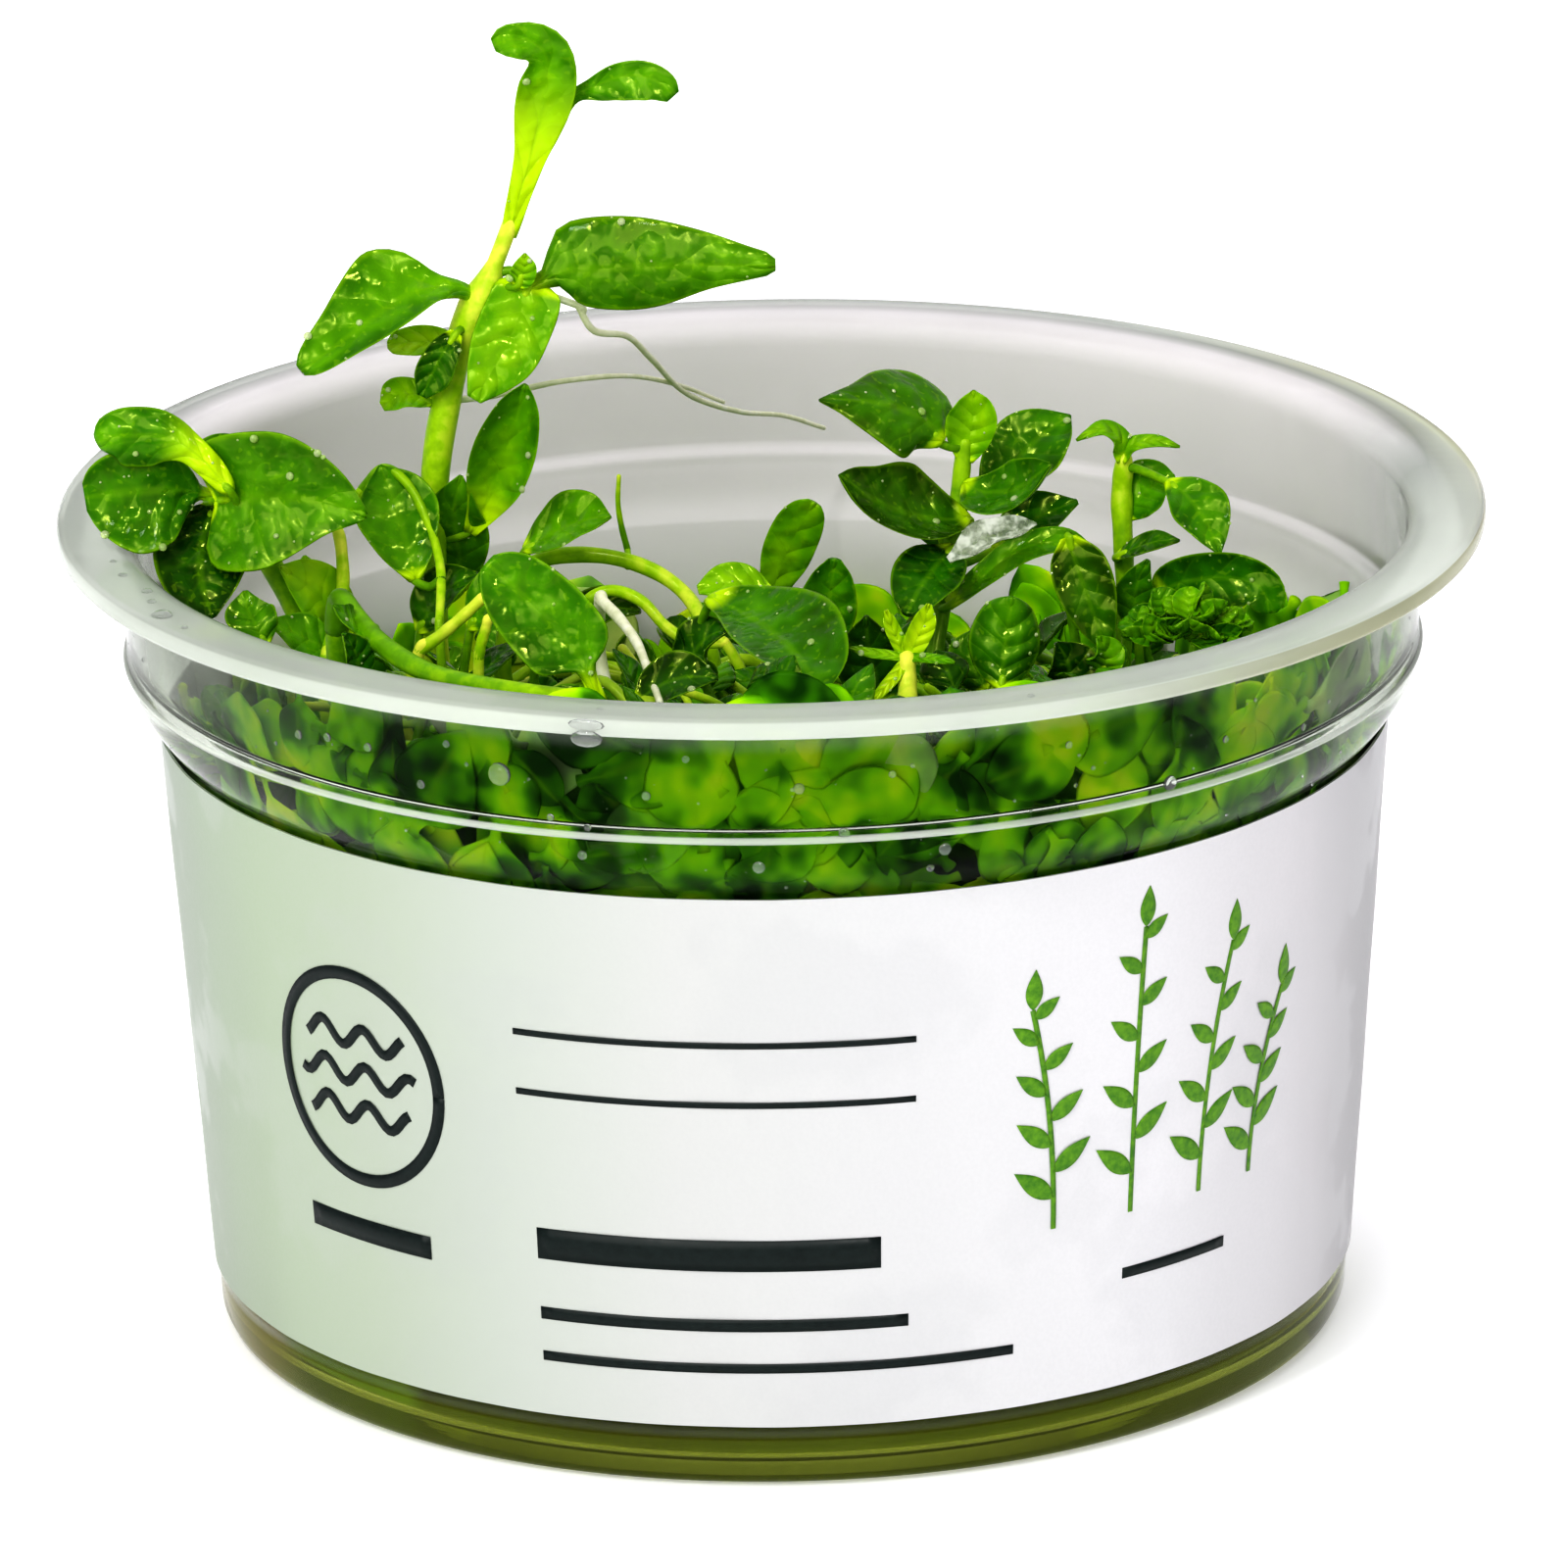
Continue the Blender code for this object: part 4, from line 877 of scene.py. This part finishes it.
def make_cup():
    """The cup turned finely: same profile as its solid, with round edges."""
    floor = FOOT_RECESS + WALL
    floor_edge = wall_radius(floor + FLOOR_ROUND) - WALL - FLOOR_ROUND
    under_rim = CUP_HEIGHT - WALL
    lip_bottom = CUP_HEIGHT - RIM_LIP_DROP
    flange_start = NECK_RADIUS + 0.0015
    shoulder = np.linspace(SHOULDER_LOW, SHOULDER_TOP, 12)
    neck = np.linspace(SHOULDER_TOP, CUP_HEIGHT - RIM_ROUND, 5)[1:-1]
    ledge = np.linspace(SHOULDER_TOP, SHOULDER_TOP + 0.0009, 7)[1:]
    inside = [(0, floor), *arc(floor_edge, floor + FLOOR_ROUND, FLOOR_ROUND, -90, 0, 8)]
    inside += [(wall_radius(z) - WALL, z) for z in np.linspace(0.008, SHOULDER_LOW, 6)[:-1]]
    inside += [(inner_radius(z), z) for z in (*np.linspace(SHOULDER_LOW, SHOULDER_TOP, 20), *ledge, *neck)]
    inside += arc(NECK_RADIUS - WALL + RIM_ROUND, CUP_HEIGHT - RIM_ROUND, RIM_ROUND, 180, 90, 8)
    rim = arc(RIM_RADIUS - RIM_EDGE_ROUND, CUP_HEIGHT - RIM_EDGE_ROUND, RIM_EDGE_ROUND, 90, 0, 6)
    rim += arc(RIM_RADIUS - WALL / 2, lip_bottom + WALL / 2, WALL / 2, 0, -180, 6)
    rim += [(RIM_RADIUS - WALL, under_rim - 0.0001)]
    outside = arc(NECK_RADIUS + UNDER_RIM_ROUND, under_rim - UNDER_RIM_ROUND, UNDER_RIM_ROUND, 90, 180, 8)
    outside += [(NECK_RADIUS, z) for z in neck[::-1]]
    outside += [
        (wall_radius(SHOULDER_TOP + z) + RIDGE_PROUD * cos(pi / 2 * z / RIDGE_HALF_HEIGHT), SHOULDER_TOP + z)
        for z in np.linspace(RIDGE_HALF_HEIGHT, -RIDGE_HALF_HEIGHT, 7)
    ]
    outside += [(wall_radius(z), z) for z in shoulder[::-1] if z < SHOULDER_TOP - RIDGE_HALF_HEIGHT]
    body = np.linspace(SHOULDER_LOW, 0.0080, 5)[1:]
    outside += [(wall_radius(z), z) for z in (*body, FOOT_BEND, FOOT_TINT_TOP, BASE_ROUND)]
    outside += arc(BASE_RADIUS - BASE_ROUND, BASE_ROUND, BASE_ROUND, -10, -90, 7)
    foot = [(FOOT_INNER_RADIUS, 0), (FOOT_INNER_RADIUS - FOOT_RECESS, FOOT_RECESS), (0, FOOT_RECESS)]
    rings = turned(inside + rim + outside + foot)
    x, y, height = np.moveaxis(rings, -1, 0)
    radius, angle = np.hypot(x, y), np.arctan2(y, x)

    # Milk: rim, ridge, foot, damp sides, and the wall behind, fogged and also made milky and pale as painted
    # light for the lit label seen through it
    on_flange = radius > flange_start
    on_ridge = (radius > NECK_RADIUS + RIDGE_PROUD * 0.4) & (height < SHOULDER_TOP + RIDGE_HALF_HEIGHT)
    tinted = 1 - smoothstep(FOOT_TINT_TOP, FOOT_TINT_TOP + 0.0010, height)
    golden = smoothstep(-0.0325, -0.0370, x)
    damp = np.abs(np.cos(angle)) ** 7 * (0.7 + 0.3 * np.sin(9 * angle) * np.sin(23 * angle + height * 900))
    behind = smoothstep(-0.15, 0.60, angle) * (1 - smoothstep(2.55, 3.20, angle))
    behind = behind * smoothstep(0.026, 0.034, height) * (radius < flange_start)
    milk = np.maximum.reduce([
        0.52 * smoothstep(CUP_HEIGHT - 0.0030, CUP_HEIGHT - 0.0008, height), 0.52 * on_flange, 0.7 * on_ridge,
        (0.12 + 0.30 * golden) * tinted, 0.36 * damp * smoothstep(0.0445, 0.0480, height),
        (0.74 + 0.16 * smoothstep(0.0475, 0.0450, height)) * behind,
    ])

    # Tint: below 0 the wall behind, about 0 the flange with painted light and shade as it turns to or from
    # the light, then the lip, then the foot
    lip = (radius > RIM_RADIUS - RIM_EDGE_ROUND) * (height < CUP_HEIGHT - 0.0002)
    rightward = smoothstep(0.015, 0.045, x)
    # Painted light and shade on the flange: lighter at the right and the right back, darker at the back and
    # at the far left
    flange_painted_light = 0.28 * rightward - 0.28 * smoothstep(0.008, 0.040, y) * (1 - rightward)
    flange_painted_light = flange_painted_light + 0.26 * rightward * smoothstep(-0.004, 0.012, y)
    flange_painted_light = flange_painted_light - 0.08 * smoothstep(-0.020, -0.045, x)
    part = tinted * (1 - 0.12 * golden) + 0.4 * lip + flange_painted_light * on_flange * (height > 0.05)
    # the wall behind takes the pale tint: painted light for the lit inside of the label seen through it
    part = part - behind * (height > 0.01)
    walked = np.concatenate([[0], np.cumsum(np.linalg.norm(np.diff(rings[:, 0], axis=0), axis=1))])
    place = np.stack(np.broadcast_arrays(milk, walked[:, None], part), axis=-1)
    Shells().add(rings, place).build("clear_cup", plastic_looks("clear_plastic"), "clear_plastic", "cup")


def on_label(s, z, proud):
    """A place on the label: s along it from the front's middle, z up, in metres, proud of the cup."""
    return around_axis(np.vectorize(wall_radius)(z) + proud, -pi / 2 + s / BODY_RADIUS, z)


def sheet(s, z, inner, thickness):
    """Rings round a thin sheet on the label."""
    return np.concatenate([on_label(s, z, inner + thickness), on_label(s, z, inner)[:, ::-1]], axis=1)


def make_label(finish):
    """A sheet wrapped round the cup, whose end laps over its start at the back."""
    along = np.linspace(-pi, pi + LABEL_LAP, 220) * BODY_RADIUS
    s, z = np.meshgrid(along, np.linspace(LABEL_LOW, LABEL_TOP, 40), indexing="ij")
    lapped = smoothstep(pi - 0.02, pi + 0.01, along / BODY_RADIUS)[:, None] * (LABEL_THICKNESS * 1.3)
    wave = 0.00003 * np.sin(s * 310 + z * 190) * np.sin(z * 260 + 1.0) + 0.00002 * np.sin(s * 720 + 2.0)
    rings = sheet(s, z, LABEL_GAP + wave + lapped, LABEL_THICKNESS)
    label = Shells().add(rings[:, ::-1]).build("wrap_label", finish, "label_paper", "label").data
    for face in label.polygons:
        face.use_smooth = len(face.vertices) == 4
    label.set_sharp_from_angle(angle=radians(40))


def printed(shells, left, right, columns=5):
    """One printed shape, as rows from a left edge to a right edge on the flat label."""
    left, right = np.asarray(left, float) * MM, np.asarray(right, float) * MM
    share = np.linspace(0, 1, columns)[None, :, None]
    flat = left[:, None] * (1 - share) + right[:, None] * share
    shells.add(sheet(flat[..., 0], flat[..., 1], LABEL_GAP + LABEL_THICKNESS + PRINT_GAP, PRINT_THICKNESS))


def ribbon(shells, points, width):
    """A printed line of even width."""
    points = np.asarray(points, float)
    ahead = unit(np.gradient(points, axis=0))
    across = np.stack([-ahead[:, 1], ahead[:, 0]], axis=1) * width / 2
    printed(shells, points + across, points - across, 3)


def pointed(shells, foot, tip, width):
    """A printed pointed leaf."""
    t = np.linspace(0.001, 0.999, 14)[:, None]
    ahead = unit(tip - foot)
    across = np.array([-ahead[1], ahead[0]]) * width / 2 * np.sin(pi * t ** 0.8)
    centre = foot + (tip - foot) * t
    printed(shells, centre + across, centre - across)


def make_print():
    """Plain generic printing: a ring with ripples, ruled lines, and upright grass-like sprigs."""
    dark = Shells()
    ring_middle, ring_radius = np.array((-33.0, 27.0)), 7.6
    turn = np.linspace(0, 2 * pi, 73)
    ribbon(dark, ring_middle + ring_radius * np.stack([np.cos(turn), np.sin(turn)], axis=1), 0.95)
    for row, reach in ((-2.6, 4.9), (0.2, 5.6), (3.0, 4.7)):
        x = np.linspace(-reach, reach, 30)
        ribbon(dark, ring_middle + np.stack([x, row + 0.75 * np.sin(x * 1.55)], axis=1), 0.75)
    for start, end, height, width in (
        (-39.0, -27.0, 15.5, 1.7), (-19.0, 9.5, 33.0, 0.45), (-19.0, 9.5, 28.6, 0.45),
        (-18.0, 7.0, 17.4, 2.3), (-18.0, 9.0, 12.2, 0.9), (-18.0, 17.0, 9.0, 0.7), (26.0, 36.0, 13.0, 0.8),
    ):
        ribbon(dark, np.linspace((start, height), (end, height), int(end - start) + 1), width)
    ink = ink_looks("dark_ink", (0.004, 0.010, 0.009), (0.010, 0.019, 0.017))
    dark.build("label_lines", ink, "label_paper")

    green, low = Shells(), 17.5
    for base, top, lean in ((20.0, 34.0, -2.0), (26.5, 38.5, 0.5), (33.0, 35.5, 2.4), (38.5, 30.5, 3.0)):
        t = np.linspace(0, 1, 16)
        stem = np.stack([base + lean * t ** 2, low + (top - low) * t], axis=1)
        ribbon(green, stem, 0.40)
        for number, share in enumerate(np.linspace(0.14, 0.96, 8)):
            foot = np.array((base + lean * share ** 2, low + (top - low) * share))
            reach = 3.9 * (1 - 0.45 * share)
            way = 1 if number % 2 else -1
            pointed(green, foot, foot + (way * reach * 0.86, reach * 0.62), 1.5 * (1 - 0.3 * share))
        pointed(green, stem[-1], stem[-1] + (0.2, 3.0), 1.3)
    ink = ink_looks("green_ink", (0.055, 0.20, 0.012), (0.16, 0.36, 0.02))
    green.build("label_sprigs", ink, "label_paper")


def make_gel():
    """The gel, nearly flat on top, with a raised edge where it creeps up the wall."""
    floor = FOOT_RECESS + WALL + GEL_GAP
    side = wall_radius(floor + FLOOR_ROUND) - WALL - GEL_GAP
    edge = wall_radius(GEL_TOP) - WALL - GEL_GAP
    profile = [(0, GEL_TOP)]
    profile += [(r, GEL_TOP + 0.00016 * sin(r * 700)) for r in np.linspace(0.004, edge - 0.003, 8)]
    creep = ((0.0012, 0.0003), (0.0003, 0.0008), (0, 0.0010))
    profile += [(edge - back, GEL_TOP + rise) for back, rise in creep]
    profile += arc(side - FLOOR_ROUND, floor + FLOOR_ROUND, FLOOR_ROUND, 0, -90, 6) + [(0, floor)]
    Shells().add(turned(profile)).build("gel_layer", gel_looks("gel"), "gel", "nutrient_gel")


def make_core(finish):
    """The shaded inside of the clump, under and behind the small leaves."""
    turn = np.linspace(-pi, pi, 120, endpoint=False)

    def ring(share, z):
        """A ring that reaches a share of the way out, a few leaf layers short of the wall."""
        reach = np.vectorize(wall_radius)(np.minimum(z, SHOULDER_LOW)) - WALL - 0.0035
        bare = smoothstep(BARE_LEFT - 0.12, BARE_LEFT + 0.12, np.abs(turn))
        return around_axis((reach - 0.0022 * bare * smoothstep(0.040, 0.046, z)) * share, turn, z)

    rows = []
    for share in np.linspace(0.02, 1, 14):
        z = growth_top(share * 0.040 * np.cos(turn), share * 0.040 * np.sin(turn)) - CORE_DEPTH
        rows.append(ring(share, z))
    low = GEL_TOP + 0.0008
    rows += [ring(1, low + (z - low) * share) for share in np.linspace(0.9, 0, 10)]
    rows.append(around_axis(0.02, turn, low))
    rings = np.array(rows)
    lump = np.sin(rings[..., 0] * 900) * np.sin(rings[..., 1] * 870 + 1) * np.sin(rings[..., 2] * 800)
    rings[..., :2] *= 1 + 0.02 * lump[..., None]
    Shells().add(rings[:, ::-1]).build("growth_core", finish, "low_growth", "undergrowth")


def add_sprig(leaves, stems, foot, direction, height, size, tone):
    """A small shoot: a stem with pairs of leaves, each pair turned a quarter from the last."""
    direction = unit(np.asarray(direction, float))
    sway = rng.normal(0, 0.12 * height, 3) * (1, 1, 0.2)
    points = [foot, foot + direction * height * 0.5 + sway * 0.5, foot + direction * height + sway]
    pale = rng.random() ** 2
    rings, place = tube(points, 0.10 * size, 0.07 * size, 3, 7)
    stems.add(kept_inside(rings), place, (tone * 0.6 + 0.1, pale, 0))
    path = catmull_rom(points, 8)
    turn = rng.random() * 2 * pi
    pairs = max(2, int(round(height / (size * 0.7))))
    side = unit(np.cross(direction, (0.31, 0.47, 0.2)))
    other = np.cross(direction, side)
    for pair in range(pairs):
        share = 0.35 + 0.65 * pair / (pairs - 1)
        node = path[int(share * (len(path) - 1))]
        turn += pi / 2 + rng.normal(0, 0.15)
        reach = size * (1.0 if share < 0.8 else 0.75) * rng.uniform(0.8, 1.2)
        for way in (0, pi):
            out = side * cos(turn + way) + other * sin(turn + way)
            rise = rng.uniform(0.1, 0.6) + 0.5 * share
            tip = node + unit(out + direction * rise) * reach
            rings, place = small_blade(
                node, tip, direction * 0.10 * reach, reach * rng.uniform(0.55, 0.8), direction - out * 0.25,
                rng.uniform(-0.3, 0.45), list(OUTLINES)[int(rng.integers(3))], 12, turn,
            )
            shade = np.clip(tone + rng.normal(0, 0.08) + 0.10 * share, 0, 1)
            leaves.add(kept_inside(rings), place, (shade, rng.random() ** 3, 0.2))


def make_growth(leaf_finish, stem_finish):
    """Small shoots all over the sloping top of the clump, and bare stems that wind between them."""
    leaves, stems = Shells(), Shells()
    across = np.arange(-38, 39, SPRIG_SPACING)
    for row, y0 in enumerate(across):
        for x0 in across + (SPRIG_SPACING / 2 if row % 2 else 0):
            x, y = x0 + rng.normal(0, 1.4), y0 + rng.normal(0, 1.4)
            if np.hypot(x, y) > 37.5:
                continue
            height = rng.uniform(6.0, 10.0)
            lean = rng.normal(0, 0.30, 2)
            foot = np.array((x, y, growth_top_mm(x, y) - height - rng.uniform(0.5, 3.0)))
            tone = np.clip(rng.normal(0.18, 0.12), 0.0, 0.55)
            add_sprig(leaves, stems, foot, (lean[0], lean[1] - 0.1, 1), height, rng.uniform(4.4, 7.2), tone)
    for _ in range(WINDING_STEMS):
        x, y = rng.uniform(-34, 30), rng.uniform(-30, 30)
        if np.hypot(x, y) > 34:
            continue
        heading, points = rng.uniform(0, 2 * pi), []
        for step in range(5):
            points.append((x, y, growth_top_mm(x, y) - 2.2 + 2.6 * sin(step * 1.3 + heading)))
            heading += rng.normal(0, 0.5)
            x, y = x + 4.2 * cos(heading), y + 4.2 * sin(heading)
            if np.hypot(x, y) > 37:
                break
        if len(points) > 2:
            thick = rng.uniform(0.32, 0.55)
            rings, place = tube(points, thick, thick * 0.8, 6, 9, wobble=0.05)
            stems.add(kept_inside(rings), place, (rng.uniform(0.35, 0.85), rng.random() ** 2, 0))
    leaves.build("growth_leaves", leaf_finish, "low_growth")
    stems.build("growth_stems", stem_finish, "stem")


def make_wall_leaves(finish):
    """Leaves that lie against the inside of the wall, seen through the clear neck."""
    leaves = Shells()
    for _ in range(WALL_LEAVES):
        angle = rng.uniform(-pi, pi)
        z = rng.uniform(32.0, 56.5)
        inner = (wall_radius(z * MM) - WALL) / MM
        depth = rng.uniform(0.35, 2.6)
        radius = inner - depth
        over_growth = z > growth_top_mm(radius * cos(angle), radius * sin(angle)) + 1.0
        if over_growth or (abs(angle) > BARE_LEFT - 0.02 and z > 41):
            continue
        outward = np.array((cos(angle), sin(angle), 0))
        tangent = np.array((-sin(angle), cos(angle), 0))
        spin = rng.uniform(0, 2 * pi)
        ahead = tangent * cos(spin) + np.array((0, 0, 1)) * sin(spin)
        length = rng.uniform(5.5, 10.5)
        centre = outward * radius + np.array((0, 0, z))
        foot, tip = centre - ahead * length / 2, centre + ahead * length / 2
        for end in (foot, tip):
            end[2] = min(end[2], 57.2)
            limit = (wall_radius(end[2] * MM) - WALL) / MM - depth
            end[:2] *= limit / max(np.hypot(*end[:2]), 1e-6)
        sag = outward * length ** 2 / (8 * inner) * 0.9
        face = outward * (1 if rng.random() < 0.6 else -1) + rng.normal(0, 0.18, 3)
        # painted light: the lower a leaf lies below the shoulder, the brighter its tone, standing in for
        # light that does not reach it
        tone = np.clip(rng.normal(0.46, 0.20) + 0.06 * max(0, 48.5 - z), 0.05, 0.98)
        rings, place = small_blade(
            foot, tip, sag, length * rng.uniform(0.6, 0.85), face, rng.uniform(-0.05, 0.05),
            list(OUTLINES)[int(rng.integers(2))], 14,
        )
        leaves.add(kept_inside(rings), place, (tone, rng.random() ** 3, 0))
    leaves.build("wall_leaves", finish, "low_growth")


def add_leaf_dew(dew, rings, count):
    """Drops strewn over the upper side of one leaf."""
    steps, around = rings.shape[:2]
    for _ in range(count):
        row, column = int(rng.integers(4, steps - 2)), int(rng.integers(1, around // 2))
        spot = rings[row, column]
        across = rings[row, column + 1] - rings[row, column - 1]
        normal = np.cross(across, rings[row + 1, column] - rings[row - 1, column])
        if normal @ (spot - rings[row, (around - column) % around]) < 0:
            normal = -normal
        dew.add(drop(spot, normal, (0.09 + 0.24 * rng.random() ** 4) * MM, 0.7))


def make_cup_dew(dew):
    """Drops on the neck's outside and on the rim."""
    for x, z, radius in WALL_DEW:
        reach = wall_radius(z * MM)
        outward = np.array((x * MM, -np.sqrt(reach ** 2 - (x * MM) ** 2), 0))
        dew.add(drop(outward + (0, 0, z * MM), outward, radius * MM))
    for x, y, radius in RIM_DEW:
        dew.add(drop(np.array((x * MM, y * MM, CUP_HEIGHT)), (0, 0, 1), radius * MM, 0.5))
    for _ in range(SMALL_DROPS):
        angle, z = rng.uniform(-pi, pi), rng.uniform(LABEL_TOP + 0.001, CUP_HEIGHT - 0.003)
        outward = around_axis(wall_radius(z), angle, 0)
        dew.add(drop(outward + (0, 0, z), outward, (0.05 + 0.13 * rng.random() ** 3) * MM, 0.7))
    lip = np.array((-0.0126, -np.sqrt(RIM_RADIUS ** 2 - 0.0126 ** 2), CUP_HEIGHT - 0.0006))
    dew.add(drop(lip, lip * (1, 1, 0), 0.0004, 0.6, 3.2))
    dew.add(drop(lip + (0, 0, -0.0010), lip * (1, 1, 0), 0.0006, 0.5, 1.9))


def make_shoots(leaf_finish, stem_finish, root_finish, dew):
    """Every stem, root and leaf that stands above the growth, each in place of its solid."""
    for number, (name, (midrib, widths, face, dish, tone, extras)) in enumerate(LEAVES.items()):
        rings, place = blade(
            midrib, widths, face, dish, phase=number * 1.7, lobes=extras.get("lobes", 0.0),
            quilt=extras.get("quilt", 0.03),
        )
        add_leaf_dew(dew, rings, int(extras.get("dew", 2)))
        look = (tone, 0.15 * (number % 4), extras.get("pale", 0.12))
        Shells().add(rings, place, look).build(name + "_blade", leaf_finish, "leaf", name)
    for name, (lower, upper, tone, points, nodes) in STEMS.items():
        kind, finish = ("root", root_finish) if name.startswith("root") else ("stem", stem_finish)
        rings, place = tube(points, lower, upper, 8, 16, wobble=0.04, nodes=nodes)
        Shells().add(rings, place, (tone, 0.1, 0)).build(name + "_tube", finish, kind, name)


def nearest_hold(foot, skip):
    """Where the stalk of a leaf or of a stem comes from: a stem close by, or the low growth below."""
    fall = foot[2] - growth_top_mm(foot[0], foot[1])
    hold, reach = foot + (0.12 * fall, 0.18 * fall, -fall - 2.5), fall
    for name, (_, _, _, points, _) in STEMS.items():
        if name != skip and name.startswith("stem"):
            path = catmull_rom(points, 10)
            gaps = np.linalg.norm(path - foot, axis=1) + 50 * (path[:, 2] > foot[2] + 0.5)
            if gaps.min() < min(reach, 9):
                hold, reach = path[gaps.argmin()], gaps.min()
    return hold, reach


def make_stalks(stem_finish, root_finish):
    """Stalks that carry each leaf, and the lower ends of stems and roots, down to what they grow from."""
    stalks, roots = Shells(), Shells()
    ends = [(name, *leaf[0][:2], 0.32, 0.45) for name, leaf in LEAVES.items()]
    for name, (lower, upper, tone, points, _) in STEMS.items():
        ends.append((name, *points[:2], lower, tone))
        if name in HELD_TIPS:
            ends.append((name, *points[:-3:-1], upper, tone))
    for name, foot, after, thick, tone in ends:
        foot = np.array(foot, float)
        ahead = unit(np.array(after) - foot)
        hold, reach = nearest_hold(foot, name)
        if reach < 0.8:
            continue
        bend = (foot + hold) / 2 - ahead * 0.22 * np.linalg.norm(foot - hold)
        rings, place = tube([hold, bend, foot, foot + ahead * 0.8], thick * 1.1, thick * 0.9)
        (roots if name.startswith("root") else stalks).add(rings, place, (tone, 0.1, 0))
    stalks.build("stalks_tube", stem_finish, "stem")
    roots.build("root_stalks_tube", root_finish, "root")


def make_dried():
    rings, place = blade(*DRIED_LEAF, ripple=0.25, quilt=0.15, phase=2.0)
    finish = dried_looks("dried_leaf")
    Shells().add(rings, place, (0.5, 0, 0)).build("leaf_dried_film", finish, "dried_leaf", "leaf_dried")


def make_curled(finish):
    """Crisp young leaves packed into a tuft, each curled hard and crimped along its edge."""
    low, high = (np.array(v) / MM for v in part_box("leaves_curled"))
    middle, half = (low + high) / 2, (high - low) / 2 * 1.35
    shells = Shells()
    for number in range(CURLED_LEAVES):
        spot = unit(rng.normal(0, 1, 3)) * rng.uniform(0.25, 0.72)
        spot[2] = abs(spot[2]) * 0.9 - 0.15
        foot = middle + spot * half * 0.6
        way = unit(spot * half + rng.normal(0, 0.5, 3) + (0, 0, 0.8))
        tip = foot + way * rng.uniform(1.9, 3.0)
        rings, place = small_blade(
            foot, tip, rng.normal(0, 0.2, 3), rng.uniform(1.6, 2.6),
            unit(rng.normal(0, 1, 3) + (0, -0.5, 0.6)), rng.uniform(0.3, 0.9), "oval", 14, number * 2.1,
        )
        shells.add(rings, place, (rng.uniform(0.22, 0.58), rng.random() * 0.4, 0.1))
    shells.build("leaves_curled_tuft", finish, "leaf", "leaves_curled")


make_camera()
make_studio()
leaf_finish = leaf_looks("leaf")
stem_finish = stem_looks("stem")
root_finish = root_looks("root")
make_cup()
make_label(paper_looks("label_paper"))
make_print()
make_gel()
make_core(core_looks("growth_shade"))
make_growth(leaf_finish, stem_finish)
make_wall_leaves(pressed_looks("pressed_leaf"))
leaf_dew, cup_dew = Shells(), Shells()
make_shoots(leaf_finish, stem_finish, root_finish, leaf_dew)
make_stalks(stem_finish, root_finish)
make_cup_dew(cup_dew)
# The drops on the leaves are about half pale yellow-white diffuse colour: a painted highlight
painted_glint_water = water_looks("water_painted_glint", 0.48, (0.62, 0.88, 0.22), (0.92, 1.0, 0.62))
leaf_dew.build("leaf_dew", painted_glint_water, "clear_plastic")
# The drops on the cup carry a small share of white diffuse colour: a faint painted highlight
cup_dew.build("cup_dew", water_looks("water", 0.07, (0.96, 0.98, 0.97), (1, 1, 1)), "clear_plastic")
make_dried()
make_curled(leaf_finish)
